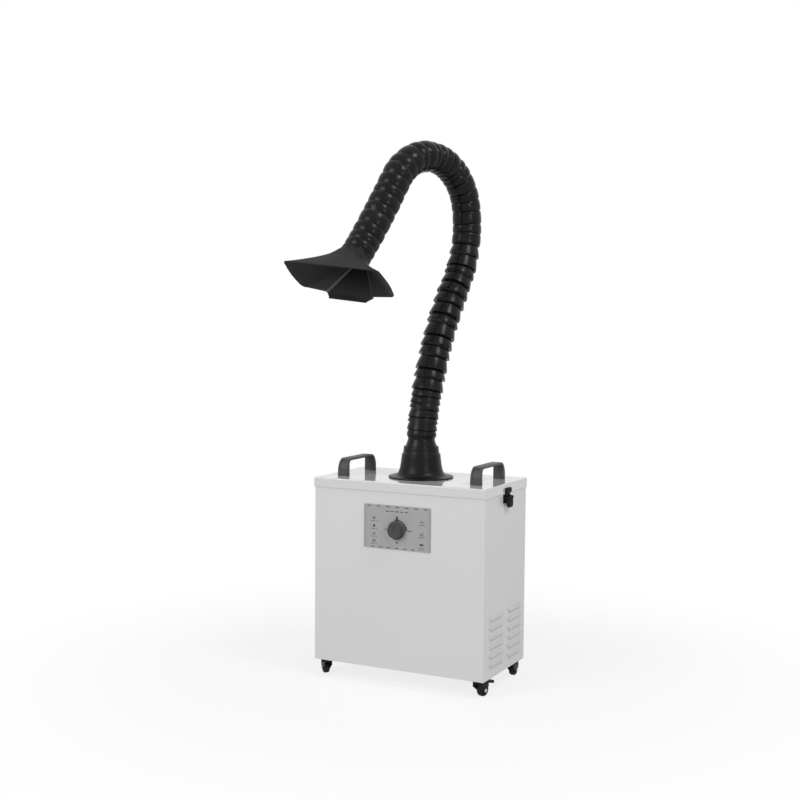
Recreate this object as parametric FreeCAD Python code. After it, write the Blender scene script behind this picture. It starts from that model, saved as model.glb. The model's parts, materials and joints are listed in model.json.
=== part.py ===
import FreeCAD, Part
import math
import os

Vec = FreeCAD.Vector

# Cabinet: +X is right and +Z is up, the front faces -Y, the origin is on the floor under its middle
body_w = 430.0
body_d = 240.0
body_bottom = 40.0
body_top = 460.0
sheet = 1.2
bend_r = 2.5
return_w = 12.0
rear_screw_x = 207.0
rear_screw_heights = (75.0, 250.0, 425.0)
rear_screw_head = (3.6, 2.6, 1.8)
tray_upstand = 15.0
over = 1.0

# Louvres pressed out of both side walls
louvre_length = 74.0
louvre_centres = (-50.0, 58.0)
louvre_rows = 6
louvre_first = 67.0
louvre_step = 20.9
louvre_height = 9.0
louvre_depth = 4.0
louvre_wall = 1.0
louvre_end_r = 2.0
louvre_inset = 2.2

# Lift-off lid
lid_top = 468.0
lid_skirt = 22.0
lid_gap = 0.8
gasket_w = 10.0
gasket_gap = 0.2
lid_hole_r = 45.0
bolt_r = 2.5
bolt_head_r = 4.2
bolt_head_h = 2.6

# Carrying handles
handle_x = 169.0
handle_w = 25.0
handle_foot = 73.0
handle_leg = 14.0
handle_h = 40.5
handle_shoulder = 50.0
grip_t = 5.5
handle_inner_r = 9.0
handle_bolt_y = 66.0
handle_bolt_depth = 14.0
handle_bulge = (66.0, 26.7)
handle_leg_top = (72.4, 9.5)

# Toggle latches on the side walls
latch_pivot_x = 222.2
latch_pivot_z = 436.0
latch_hub_r = 3.0
latch_pin_r = 1.5
lever_half = 16.0
lever_bottom = 414.5
lever_t = 4.0
lever_tip_t = 3.0
lever_bend = 14.0
lever_flick = 1.0
ear_gap = 0.5
ear_t = 1.5
hook_half = 14.5
tongue_half = 13.0
tongue_t = 1.8
tongue_drop = 20.0
tongue_up = 5.0
hook_t = 5.5
hook_z = (1.0, 12.0)
hook_edge_r = 2.0
latch_plate_half = 20.0
latch_plate_t = 1.4
latch_plate_z = (424.0, 443.5)
latch_plate_r = 3.0
ear_r = 3.6
ear_drop = 5.0
pin_gap = 0.06
pin_end = 0.6
lever_end_r = 9.0

# Hose flange on the lid: its profile is (radius, height over the lid), outside then inside
flange_r = 75.5
flange_top = 541.0
flange_bore = 36.7
cuff_gap = 0.3
clamp_ring_r = 68.0
clamp_ring_t = 3.0
flange_bolt_r = 57.0
flange_bolt_depth = 2.0
flange_outside = ((75.5, 2.5), (74.3, 3.6), (60, 5), (51, 14, "arc"), (46.5, 34), (44.5, 56), (42, 57))
flange_lip_r = 40.2
flange_inside = ((40.8, 45), (43, 34))
flange_bore_h = 26.0
spigot_stops = (-34.0, -30.0, -27.0)
bead_out = 3.2

# Ribbed hose: a row of arcs, each a length and a turn in degrees, positive towards the front
hose_heading = 18.0
hose_arcs = ((57, -9), (162, -9), (174, -11), (100, 18), (99, 23), (306, 136), (166, -4), (46, -4.4))
rib_crest = 36.0
rib_root = 31.0
hose_bore = 28.5
rib_profile = ((0.0, rib_root), (0.12, rib_crest), (0.36, rib_crest), (0.9, rib_root))
hose_joint_gap = 0.3

# Hose pieces: name, start, end along the hose, count of ribs
hose_pieces = (
    ("hose_cuff", 0.0, 38.0, 2),
    ("hose_flex_low", 38.0, 132.0, 6),
    ("hose_section_lower", 132.0, 395.0, 10),
    ("hose_flex_mid", 395.0, 495.0, 4),
    ("hose_section_middle", 495.0, 655.0, 6),
    ("hose_flex_arch", 655.0, 775.0, 6),
    ("hose_section_upper", 775.0, 955.0, 7),
    ("hose_flex_tip", 955.0, 1064.0, 4),
    ("hood_collar", 1064.0, 1110.0, 2),
)

# Hood: a faceted funnel from the round neck to a wide mouth, whose floor rises towards its ends
hood_spin = -8.2
hood_neck_r = 34.8
hood_neck = 4.0
hood_depth = 73.0
hood_wall = 2.2
mouth_w = 267.0
mouth_roof = 48.0
mouth_floor = 51.5
mouth_rise = 12.0
panel_neck = 16.7
panel_mouth = 66.7
tongue_reach = 14.0
tongue_end = 53.5
collar_rim = 5.0
collar_stub = 10.0
collar_stub_r = 31.5
neck_bore = 31.8
neck_inset = 1.0
neck_reach = 11.0
flare_power = 1.6
roof_power = 1.5
corner_at_neck = 0.8
corner_at_mouth = 0.975
mouth_corner = 8.0
funnel_shares = (0.0, 0.3, 0.55, 0.8, 1.0)
tongue_lap = 2.0

# Control panel on the front
panel_w = 168.0
panel_h = 100.0
panel_t = 1.5
panel_z = 366.0
panel_r = 2.5
knob_z = 361.0
knob_r = 21.0
knob_h = 13.5
knob_gap = 0.5
knob_profile = ((21.0, 2.5), (19.0, 4.0), (17.8, 12.0), (16.3, 13.5))
knob_socket = 8.0
control_half = 14.0
control_depth = 13.5
control_bore = 11.0
bush_r = 4.5
bush_out = 2.5
bush_gap = 0.1
shaft_r = 3.0
shaft_gap = 0.05

# Air path inside: prefilter, carbon filter and pleated filter over a fan deck
filter_w = 392.0
filter_d = 208.0
deck_z = 200.0
ring_flange = 16.0
ring_drop = 22.0
ring_throat_r = 67.0
ring_wall = 1.5
seal_h = 11.0
seal_w = 12.0
frame_h = 140.0
frame_t = 3.0
carbon_h = 40.0
prefilter_h = 20.0
pleats = 32
media_t = 1.2
media_margin = 4.0

# Centrifugal fan on a motor that stands on the base
fan_r = 95.0
fan_eye_r = 70.0
fan_bottom = 112.0
fan_blade_h = 56.0
fan_blades = 9
fan_plate_t = 2.0
motor_r = 45.0
motor_bottom = 58.0
motor_top = 104.0
motor_edge_r = 3.0
motor_boss = (14.0, 4.0)
motor_bore = 25.0
fan_shaft_r = 4.0
fan_shaft_top = 142.0
fan_hub = (18.0, 24.0)
fan_shroud_gap = 2.0
blade_profile = ((50, 0), (72, -12, "arc"), (88, -33), (89.5, -31.5), (73, -10.3, "arc"), (50, 2))
bracket_half = 65.0
bracket_leg = 55.0
bracket_leg_r = 6.0
bracket_t = 2.0
bracket_corner_r = 8.0

# Control board on the left wall: boxes as x, y, z ranges, then capacitors and stand-offs
board_x = (-190.0, -188.4)
board_y = (-90.0, -10.0)
board_z = (70.0, 150.0)
board_blocks = (
    ((-188.4, -168.0), (-80.0, -50.0), (80.0, 115.0)),
    ((-188.4, -178.0), (-40.0, -20.0), (85.0, 105.0)),
)
capacitor_r = 6.0
capacitor_x = -166.0
capacitor_z = 132.0
capacitor_rows = (-75.0, -55.0, -35.0)
standoff_r = 3.0
standoff_inset = 4.0

# Mains inlet in the rear panel
inlet_x = -150.0
inlet_z = 85.0
inlet_body = (48.0, 28.0)
inlet_body_depth = 28.0
inlet_flange = (58.0, 38.0)
inlet_flange_t = 1.8
inlet_flange_r = 4.0
inlet_socket = (24.0, 16.0)
inlet_socket_depth = 16.0
inlet_blade = (2.0, 4.0)
inlet_blade_ends = (17.0, 3.0)
inlet_blade_spots = ((-7.0, -2.0), (0.0, 1.0), (7.0, -2.0))

# Casters
caster_x = 195.0
caster_y = 95.0
caster_plate = 36.0
wheel_r = 14.0
wheel_w = 13.0
wheel_trail = 11.0
axle_r = 2.5
fork_gap = 0.6
fork_t = 2.0
fork_disc_r = 14.0
fork_low = 31.0
fork_high = 34.2
kingpin_r = 3.0
kingpin_gap = 0.3
race_r = 13.0
rivet_r = 5.0
rivet_z = (28.7, 30.7)
caster_plate_t = 2.0
caster_plate_r = 4.0
caster_screw_head = (2.0, 3.0, 1.4)
caster_screw_inset = 4.5
cheek_back = -12.0
cheek_mid = 24.0
cheek_low = (10.0, 8.5)
cheek_out = (9.0, 11.0, 5.0)
axle_head = (4.0, 1.2)
wheel_edge_r = 2.5
dish_r = 8.5
dish_depth = 1.0
pedal_t = 18.5
pedal_z = 31.2
pedal_reach = 26.0
pedal_pin_r = 1.5
pedal_gap = 0.3
pedal_hub_r = 2.8
pedal_end_r = 3.0
pedal_root = (2.4, -1.8)
pedal_end = (-1.0, -7.4)
caster_headings = {"front_left": 135.0, "front_right": 72.0, "rear_left": 105.0, "rear_right": 90.0}
braked_casters = ("front_left", "front_right")


def around(middle, size):
    return middle - size / 2, middle + size / 2


def box(x, y, z):
    return Part.makeBox(x[1] - x[0], y[1] - y[0], z[1] - z[0], Vec(x[0], y[0], z[0]))


def rod(radius, start, end):
    along = end - start
    return Part.makeCylinder(radius, along.Length, start, along)


def tube(outer_r, inner_r, start, end):
    return rod(outer_r, start, end).cut(rod(inner_r, start, end))


def fused(shapes):
    return shapes[0].multiFuse(shapes[1:]).removeSplitter()


def outline(points, place):
    """Closed wire through 2-D points; a point with a third entry is the middle of an arc."""
    edges = []
    spots = [place(p[0], p[1]) for p in points]
    i = 0
    while i < len(points):
        middle = (i + 1) % len(points)
        after = (i + 2) % len(points)
        if len(points[middle]) == 3:
            edges.append(Part.Arc(spots[i], spots[middle], spots[after]).toShape())
            i += 2
        else:
            edges.append(Part.LineSegment(spots[i], spots[middle]).toShape())
            i += 1
    return Part.Wire(edges)


def slab(points, place, along):
    return Part.Face(outline(points, place)).extrude(along)


def lathe(points):
    profile = Part.Face(outline(points, lambda r, z: Vec(r, 0, z)))
    return profile.revolve(Vec(0, 0, 0), Vec(0, 0, 1), 360)


def rounded(shape, radius, choose):
    return shape.makeFillet(radius, [e for e in shape.Edges if choose(e)])


def runs_along(edge, axis):
    if not isinstance(edge.Curve, Part.Line):
        return False
    return abs(edge.tangentAt(edge.FirstParameter).dot(axis)) > 0.999


def upright(edge):
    return runs_along(edge, Vec(0, 0, 1))


def rounded_plate(x, y, z, radius):
    return rounded(box(x, y, z), radius, upright)


def mirrored(shape):
    return shape.mirror(Vec(0, 0, 0), Vec(1, 0, 0))


def both_sides(shape):
    return Part.makeCompound([shape, mirrored(shape)])


near = 0.1
half_w = body_w / 2
half_d = body_d / 2
inner_w = half_w - sheet
front_in = -half_d + sheet
rear_in = half_d - 2 * sheet
lid_w = half_w + lid_gap + sheet
lid_d = half_d + lid_gap + sheet
clamp_low = lid_top - sheet - clamp_ring_t


def tray_plate(z):
    """A plate that fills the cabinet's inside, with front corners to suit its bends."""
    plate = box((-inner_w, inner_w), (front_in, rear_in), z)
    return rounded(plate, bend_r - sheet, lambda e: upright(e) and e.CenterOfMass.y < 0)


def louvre(y_mid, z):
    """The pressed hood of one louvre on the right wall and the air space behind it."""
    lip = half_w + louvre_depth
    root = half_w - sheet / 2
    ends = around(y_mid, louvre_length)
    top = z + louvre_height
    skin = [(root, z), (lip, z), (lip, z + louvre_wall), (half_w, top), (root, top)]
    hood = slab(skin, lambda x, h: Vec(x, ends[0], h), Vec(0, louvre_length, 0))
    slope_x = half_w + louvre_depth / 2
    hood = rounded(hood, louvre_end_r, lambda e: abs(e.CenterOfMass.x - slope_x) < near
                   and abs(e.CenterOfMass.y - y_mid) > louvre_length / 2 - near
                   and e.CenterOfMass.z > z + louvre_wall)
    inside = inner_w - over
    air_top = top - 2 * louvre_wall
    air = [(inside, z), (lip - louvre_wall, z), (half_w, air_top), (inside, air_top)]
    gap = slab(air, lambda x, h: Vec(x, ends[0] + louvre_inset, h),
               Vec(0, louvre_length - 2 * louvre_inset, 0))
    return hood, gap


def cabinet_shell():
    """Front and both sides in one folded sheet, with returns for the lid seal and the rear panel."""
    at_front = lambda e: upright(e) and e.CenterOfMass.y < 0
    walls = box((-half_w, half_w), (-half_d, half_d - sheet), (body_bottom, body_top))
    walls = rounded(walls, bend_r, at_front)
    hollow = box((-inner_w, inner_w), (front_in, half_d), (body_bottom - over, body_top - sheet))
    hollow = rounded(hollow, bend_r - sheet, at_front)
    mouth = return_w + sheet
    top_hole = box((-half_w + mouth, half_w - mouth), (-half_d + mouth, half_d),
                   (body_top - 2 * sheet, body_top + over))
    shell = walls.cut(hollow).cut(top_hole)
    for side in (-1, 1):
        edge = sorted((side * half_w, side * (half_w - mouth)))
        shell = shell.fuse(box(edge, (rear_in, half_d - sheet), (body_bottom, body_top)))
    hoods = []
    gaps = []
    for y_mid in louvre_centres:
        for row in range(louvre_rows):
            hood, gap = louvre(y_mid, louvre_first + row * louvre_step)
            hoods += [hood, mirrored(hood)]
            gaps += [gap, mirrored(gap)]
    shell = shell.multiFuse(hoods).cut(Part.makeCompound(gaps))
    return shell.cut(on_front(bush_r + bush_gap, -half_d - over, front_in + over)).removeSplitter()


def inlet_block(size, y):
    """A block of a width and height about the mains inlet's centre."""
    return box(around(inlet_x, size[0]), y, around(inlet_z, size[1]))


def rear_panel():
    wide = half_w - bend_r
    panel = box((-wide, wide), (half_d - sheet, half_d), (body_bottom, body_top))
    rim = half_w - 2 * return_w
    panel = panel.fuse(box((-rim, rim), (half_d - return_w, half_d), (body_top - sheet, body_top)))
    hole = inlet_block(inlet_body, (half_d - return_w, half_d + over))
    return panel.cut(hole).removeSplitter()


def rear_screws():
    wide, narrow, high = rear_screw_head
    return [Part.makeCone(wide, narrow, high, Vec(x, half_d, z), Vec(0, 1, 0))
            for x in (-rear_screw_x, rear_screw_x) for z in rear_screw_heights]


def folded_tray(plate_z, rim_z):
    """A tray plate with a rim round it, both as z ranges."""
    inside = box((-inner_w + sheet, inner_w - sheet), (front_in + sheet, rear_in - sheet),
                 (rim_z[0] - over, rim_z[1] + over))
    return tray_plate(plate_z).fuse(tray_plate(rim_z).cut(inside)).removeSplitter()


def base_plate():
    return folded_tray((body_bottom, body_bottom + sheet), (body_bottom, body_bottom + tray_upstand))


def fan_deck():
    top = deck_z + sheet
    deck = folded_tray((deck_z, top), (deck_z - tray_upstand, top))
    return deck.cut(rod(fan_eye_r, Vec(0, 0, deck_z - over), Vec(0, 0, top + over)))


def inlet_ring():
    """Flanged ring in the deck's hole that leads the air down into the fan's eye."""
    top = deck_z + sheet
    low = deck_z - ring_drop
    seat = fan_eye_r - 0.5
    rim = fan_eye_r + ring_flange
    return lathe([
        (ring_throat_r - ring_wall, low), (ring_throat_r, low), (seat, deck_z), (seat, top), (rim, top),
        (rim, top + ring_wall), (fan_eye_r + ring_wall, top + ring_wall), (seat - ring_wall, top, "arc"),
        (ring_throat_r - ring_wall, deck_z - ring_drop / 2),
    ])


seal_top = deck_z + sheet + seal_h
frame_top = seal_top + frame_h
carbon_top = frame_top + carbon_h


def filter_ring(size_w, size_d, wall, z):
    outer = box(around(0, size_w), around(0, size_d), z)
    inner = box(around(0, size_w - 2 * wall), around(0, size_d - 2 * wall), (z[0] - over, z[1] + over))
    return outer.cut(inner)


def filter_media():
    """Pleated sheet that zigzags across the filter frame."""
    span = filter_w - 2 * frame_t
    pitch = span / pleats
    low = seal_top + media_margin
    high = frame_top - media_margin
    upper = []
    lower = []
    for i in range(2 * pleats + 1):
        x = -span / 2 + i * pitch / 2
        z = high - media_t if i % 2 else low
        upper.append((x, z + media_t))
        lower.append((x, z))
    depth = filter_d - 2 * frame_t
    return slab(upper + lower[::-1], lambda x, z: Vec(x, -depth / 2, z), Vec(0, depth, 0))


def pad(z):
    return box(around(0, filter_w), around(0, filter_d), z)


def lid_gasket():
    top = lid_top - sheet - gasket_gap
    size_w = 2 * (inner_w - over)
    size_d = body_d - 2 * return_w + 2 * gasket_w
    return filter_ring(size_w, size_d, gasket_w, (body_top, top))


def lid_cover():
    skirt_low = lid_top - lid_skirt
    cover = box((-lid_w, lid_w), (-lid_d, lid_d), (skirt_low, lid_top))
    cover = rounded(cover, bend_r, lambda e: upright(e) or e.CenterOfMass.z > lid_top - near)
    inside = box((sheet - lid_w, lid_w - sheet), (sheet - lid_d, lid_d - sheet),
                 (skirt_low - over, lid_top - sheet))
    cover = cover.cut(rounded(inside, bend_r - sheet, upright))
    hole = rod(lid_hole_r, Vec(0, 0, clamp_low), Vec(0, 0, lid_top + over))
    return cover.cut(Part.makeCompound([hole] + bolt_holes(over)))


def lid_bolts():
    """Where screws come up through the lid into the handles and the hose flange."""
    spots = [(x, y) for x in (-handle_x, handle_x) for y in (-handle_bolt_y, handle_bolt_y)]
    diagonal = flange_bolt_r / math.sqrt(2)
    return spots + [(x, y) for x in (-diagonal, diagonal) for y in (-diagonal, diagonal)]


def bolt_holes(depth):
    return [rod(bolt_r, Vec(x, y, clamp_low - over), Vec(x, y, lid_top + depth)) for x, y in lid_bolts()]


def lid_screws():
    screws = []
    for x, y in lid_bolts():
        on_handle = abs(x) > clamp_ring_r
        seat = lid_top - sheet if on_handle else clamp_low
        tip = lid_top + (handle_bolt_depth if on_handle else flange_bolt_depth)
        head = rod(bolt_head_r, Vec(x, y, seat - bolt_head_h), Vec(x, y, seat))
        screws.append(head.fuse(rod(bolt_r, Vec(x, y, seat - over), Vec(x, y, tip))))
    return Part.makeCompound(screws)


def clamp_ring():
    ring = tube(clamp_ring_r, lid_hole_r, Vec(0, 0, clamp_low), Vec(0, 0, lid_top - sheet))
    return ring.cut(Part.makeCompound(bolt_holes(0)))


def handle():
    """Right-hand handle: a thin bridge whose legs round over into the grip."""
    top = lid_top + handle_h
    under = top - grip_t
    inner = handle_foot - handle_leg
    corner = handle_inner_r * (1 - math.sqrt(0.5))
    front = [
        (handle_shoulder, top), (handle_bulge[0], lid_top + handle_bulge[1], "arc"),
        (handle_leg_top[0], lid_top + handle_leg_top[1]), (handle_foot, lid_top), (inner, lid_top),
        (inner, under - handle_inner_r), (inner - corner, under - corner, "arc"),
        (inner - handle_inner_r, under),
    ]
    back = [(-point[0],) + point[1:] for point in front[::-1]]
    bridge = slab(front + back, lambda y, z: Vec(handle_x - handle_w / 2, y, z), Vec(handle_w, 0, 0))
    return bridge.cut(Part.makeCompound(bolt_holes(handle_bolt_depth)))


latch_reach = lever_half + ear_gap + ear_t


def latch_rod(radius, reach):
    """A round bar of a length each way from the middle of the right-hand latch's pivot."""
    return rod(radius, Vec(latch_pivot_x, -reach, latch_pivot_z), Vec(latch_pivot_x, reach, latch_pivot_z))


def latch_base():
    """Right-hand latch base: a plate on the wall with two ears for the lever's pin."""
    plate = box((half_w, half_w + latch_plate_t), (-latch_plate_half, latch_plate_half), latch_plate_z)
    plate = rounded(plate, latch_plate_r, lambda e: runs_along(e, Vec(1, 0, 0)))
    ear_in = lever_half + ear_gap
    arm = box((half_w, latch_pivot_x), (-latch_reach, latch_reach),
              (latch_pivot_z - ear_drop, latch_pivot_z + ear_r))
    space = box((half_w + latch_plate_t, latch_pivot_x + 2 * ear_r), (-ear_in, ear_in), latch_plate_z)
    base = fused([plate, arm, latch_rod(ear_r, latch_reach)]).cut(space)
    return base.cut(latch_rod(latch_pin_r, latch_reach + over))


def latch_pin():
    return latch_rod(latch_pin_r, latch_reach + pin_end)


def latch_lever():
    """Right-hand lever: a hub on the pin and a blade with a rounded, lifted lower end."""
    outer = latch_pivot_x + latch_hub_r
    inner = outer - lever_t
    tip = outer + lever_flick - lever_tip_t
    blade = slab([
        (inner, latch_pivot_z), (outer, latch_pivot_z), (outer, lever_bottom + lever_bend),
        (outer + lever_flick / 4, lever_bottom + lever_bend / 2, "arc"), (outer + lever_flick, lever_bottom),
        (tip, lever_bottom), (inner + (tip - inner) / 4, lever_bottom + lever_bend / 2, "arc"),
        (inner, lever_bottom + lever_bend),
    ], lambda x, z: Vec(x, -lever_half, z), Vec(0, 2 * lever_half, 0))
    blade = rounded(blade, lever_end_r,
                    lambda e: runs_along(e, Vec(1, 0, 0)) and e.CenterOfMass.z < lever_bottom + near)
    lever = blade.fuse(latch_rod(latch_hub_r, lever_half))
    return lever.cut(latch_rod(latch_pin_r + pin_gap, latch_reach)).removeSplitter()


def latch_hook():
    """Right-hand hook: a keeper on the lid's skirt with a tongue that hangs behind the lever."""
    skirt_low = lid_top - lid_skirt
    keeper = box((lid_w, lid_w + hook_t), (-hook_half, hook_half),
                 (skirt_low + hook_z[0], skirt_low + hook_z[1]))
    keeper = rounded(keeper, hook_edge_r, lambda e: e.CenterOfMass.x > lid_w + near)
    tongue = box((lid_w, lid_w + tongue_t), (-tongue_half, tongue_half),
                 (skirt_low - tongue_drop, skirt_low + tongue_up))
    return keeper.fuse(tongue).removeSplitter()


def hose_flange():
    """Trumpet flange: a flat disc that sweeps up into a stepped neck for the hose cuff."""
    profile = [(lid_hole_r, 0), (flange_r, 0)]
    profile += flange_outside
    neck = flange_top - lid_top
    profile += [(flange_lip_r, neck), (flange_bore, neck), (flange_bore, neck - flange_bore_h)]
    profile += flange_inside
    flange = lathe(profile)
    flange.translate(Vec(0, 0, lid_top))
    return flange.cut(Part.makeCompound(bolt_holes(flange_bolt_depth)))


heading = math.radians(hose_heading)
hose_forward = Vec(-math.sin(heading), -math.cos(heading), 0)
hose_side = Vec(math.cos(heading), -math.sin(heading), 0)


def hose_at(s):
    """Centre point and direction of the hose at a length along it; before and after it runs straight."""
    spot = Vec(0, 0, flange_top + min(s, 0))
    lean = 0.0
    s = max(s, 0)
    for length, turn in hose_arcs:
        run = min(s, length)
        bend = math.radians(turn) * run / length
        chord = run if bend == 0 else run * math.sin(bend / 2) / (bend / 2)
        spot = spot + hose_forward * (chord * math.sin(lean + bend / 2))
        spot = spot + Vec(0, 0, chord * math.cos(lean + bend / 2))
        lean += bend
        s -= run
    ahead = hose_forward * math.sin(lean) + Vec(0, 0, math.cos(lean))
    return spot + ahead * s, ahead


def hose_ring(s, radius):
    spot, ahead = hose_at(s)
    ring = Part.Circle(Vec(0, 0, 0), Vec(0, 0, 1), radius).toShape()
    turn = FreeCAD.Rotation(hose_side, ahead.cross(hose_side), ahead, "ZXY")
    ring.Placement = FreeCAD.Placement(spot, turn)
    return Part.Wire([ring])


def rib_rings(start, end, ribs):
    pitch = (end - start) / ribs
    return [(start + (i + part) * pitch, radius) for i in range(ribs) for part, radius in rib_profile]


def hose_tube(outside, bore):
    """A stretch of hose from rings of (length along, radius) outside and inside."""
    solid = Part.makeLoft([hose_ring(s, r) for s, r in outside], True, True)
    return solid.cut(Part.makeLoft([hose_ring(s, hose_bore) for s in bore], True, True))


def bore_stops(start, end, ribs):
    return [start - over] + [start + (end - start) * i / ribs for i in range(ribs + 1)] + [end + over]


def hose_piece(start, end, ribs):
    """One stretch of ribbed hose: four rings to a rib outside, and a plain bore."""
    outside = rib_rings(start, end, ribs) + [(end, rib_root)]
    return hose_tube(outside, bore_stops(start, end, ribs))


def hose_cuff(start, end, ribs):
    """The hose's lower end, with a plain spigot that turns and is held in the flange."""
    spigot_r = flange_bore - cuff_gap
    bead_r = spigot_r + bead_out
    low, bead_end, neck = spigot_stops
    first = start + hose_joint_gap
    outside = [(low, bead_r), (bead_end, bead_r), (neck, spigot_r), (first, spigot_r)]
    outside += rib_rings(first + over, end, ribs) + [(end, rib_root)]
    return hose_tube(outside, [low - over] + bore_stops(start, end, ribs)[1:])


def hood_collar(start, end, ribs):
    """The hose's upper end: ribs, an end rim and a plain stub that the hood's neck turns on."""
    rim = end - collar_rim
    outside = rib_rings(start, rim, ribs)
    outside += [(rim, rib_root), (rim + over, rib_crest), (end - over, rib_crest)]
    outside += [(end, collar_stub_r), (end + collar_stub, collar_stub_r)]
    return hose_tube(outside, bore_stops(start, end, ribs)[:-1] + [end + collar_stub + over])


hose_end = sum(length for length, turn in hose_arcs)
hood_base, hood_out = hose_at(hose_end)
spin = math.radians(hood_spin)
hood_roof = hood_out.cross(hose_side)
hood_across = hose_side * math.cos(spin) + hood_roof * math.sin(spin)
hood_roof = hood_roof * math.cos(spin) - hose_side * math.sin(spin)


def hood_spot(across, roof, out):
    return hood_base + hood_across * across + hood_roof * roof + hood_out * out


def hood_section(share, inset):
    """One twelve-sided ring of the funnel; share runs from 0 at the neck to 1 at the mouth."""
    flare = share ** flare_power
    half_long = hood_neck_r + (mouth_w / 2 - hood_neck_r) * flare - inset
    roof = hood_neck_r + (mouth_roof - hood_neck_r) * share ** roof_power - inset
    floor = hood_neck_r + (mouth_floor - hood_neck_r) * share - inset
    long_flat = panel_neck + (panel_mouth - panel_neck) * share
    corner = corner_at_neck + (corner_at_mouth - corner_at_neck) * share

    def quarter(middle, end, mouth_end):
        short_flat = panel_neck + (mouth_end - mouth_corner - panel_neck) * share
        return [(half_long, short_flat), (half_long * corner, end * corner), (long_flat, middle)]

    upper = quarter(roof, roof, mouth_roof)
    lower = quarter(floor, floor - mouth_rise * share, mouth_floor - mouth_rise)
    ring = upper + [(-a, b) for a, b in upper[::-1]]
    ring += [(-a, -b) for a, b in lower] + [(a, -b) for a, b in lower[::-1]]
    out = hood_neck + (hood_depth - hood_neck) * share
    points = [hood_spot(a, b, out) for a, b in ring]
    return Part.makePolygon(points + points[:1])


def hood():
    """Neck tube, flared funnel and the tongue that reaches out from the lower rim."""
    outer = Part.makeLoft([hood_section(s, 0.0) for s in funnel_shares], True, True)
    inner = Part.makeLoft([hood_section(s, hood_wall) for s in funnel_shares], True, True)
    neck = tube(hood_neck_r - neck_inset, neck_bore, hood_base + hood_out * hose_joint_gap,
                hood_base + hood_out * neck_reach)
    root = hood_depth - tongue_lap
    tip = hood_depth + tongue_reach
    tongue = slab([(-panel_mouth, root), (panel_mouth, root), (tongue_end, tip), (-tongue_end, tip)],
                  lambda a, out: hood_spot(a, -mouth_floor, out), hood_roof * hood_wall)
    return fused([outer.cut(inner), neck, tongue])


panel_front = -half_d - panel_t
knob_back = panel_front - bush_out - knob_gap


def on_front(radius, near, far):
    return rod(radius, Vec(0, near, knob_z), Vec(0, far, knob_z))


def control_panel():
    plate = box(around(0, panel_w), (panel_front, -half_d), around(panel_z, panel_h))
    plate = rounded(plate, panel_r, lambda e: runs_along(e, Vec(0, 1, 0)))
    return plate.cut(on_front(bush_r + bush_gap, panel_front - over, -half_d + over))


def speed_control():
    """Speed control's case behind the front wall, with a bush for the knob's shaft."""
    case = box((-control_half, control_half), (front_in, front_in + control_depth),
               (knob_z - control_half, knob_z + control_half))
    case = case.fuse(on_front(bush_r, front_in + over, panel_front - bush_out))
    bore = on_front(shaft_r + shaft_gap, panel_front - bush_out - over, front_in + control_bore)
    return case.cut(bore).removeSplitter()


def speed_knob():
    """Round knob with a wide skirt and a shaft socket at the back."""
    knob = lathe([(0, 0), (knob_r, 0)] + list(knob_profile) + [(0, knob_h)])
    knob.rotate(Vec(0, 0, 0), Vec(1, 0, 0), 90)
    knob.translate(Vec(0, knob_back, knob_z))
    return knob.cut(on_front(shaft_r, knob_back + over, knob_back - knob_socket))


def knob_shaft():
    return on_front(shaft_r, knob_back - knob_socket, front_in + control_bore - over)


def control_board():
    board = box(board_x, board_y, board_z)
    parts = [box(*block) for block in board_blocks]
    parts += [rod(capacitor_r, Vec(board_x[1], y, capacitor_z), Vec(capacitor_x, y, capacitor_z))
              for y in capacitor_rows]
    for y in (board_y[0] + standoff_inset, board_y[1] - standoff_inset):
        for z in (board_z[0] + standoff_inset, board_z[1] - standoff_inset):
            parts.append(rod(standoff_r, Vec(-inner_w, y, z), Vec(board_x[0], y, z)))
    return fused([board] + parts)


def mains_inlet():
    """Panel inlet with a flange outside, a body inside and three contact blades in its socket."""
    flange = inlet_block(inlet_flange, (half_d, half_d + inlet_flange_t))
    flange = rounded(flange, inlet_flange_r, lambda e: runs_along(e, Vec(0, 1, 0)))
    body = inlet_block(inlet_body, (half_d - inlet_body_depth, half_d))
    socket = inlet_block(inlet_socket, (half_d - inlet_socket_depth, half_d + inlet_flange_t + over))
    deep, shallow = inlet_blade_ends
    blades = [box(around(inlet_x + dx, inlet_blade[0]), (half_d - deep, half_d - shallow),
                  around(inlet_z + dz, inlet_blade[1])) for dx, dz in inlet_blade_spots]
    return fused([flange.fuse(body).cut(socket)] + blades)


def motor_bracket():
    floor = body_bottom + sheet
    span = (-bracket_half, bracket_half)
    plate = rounded_plate(span, span, (motor_bottom - bracket_t, motor_bottom), bracket_corner_r)
    spots = (-bracket_leg, bracket_leg)
    legs = [rod(bracket_leg_r, Vec(x, y, floor), Vec(x, y, motor_bottom - over))
            for x in spots for y in spots]
    return fused([plate] + legs)


def fan_motor():
    case = rod(motor_r, Vec(0, 0, motor_bottom), Vec(0, 0, motor_top))
    case = rounded(case, motor_edge_r, lambda e: e.CenterOfMass.z > motor_top - near)
    boss_r, boss_h = motor_boss
    boss = rod(boss_r, Vec(0, 0, motor_top - over), Vec(0, 0, motor_top + boss_h))
    bore = rod(fan_shaft_r + shaft_gap, Vec(0, 0, motor_top - motor_bore),
               Vec(0, 0, motor_top + boss_h + over))
    return case.fuse(boss).cut(bore).removeSplitter()


def fan_shaft():
    return rod(fan_shaft_r, Vec(0, 0, motor_top - motor_bore + over), Vec(0, 0, fan_shaft_top))


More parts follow.
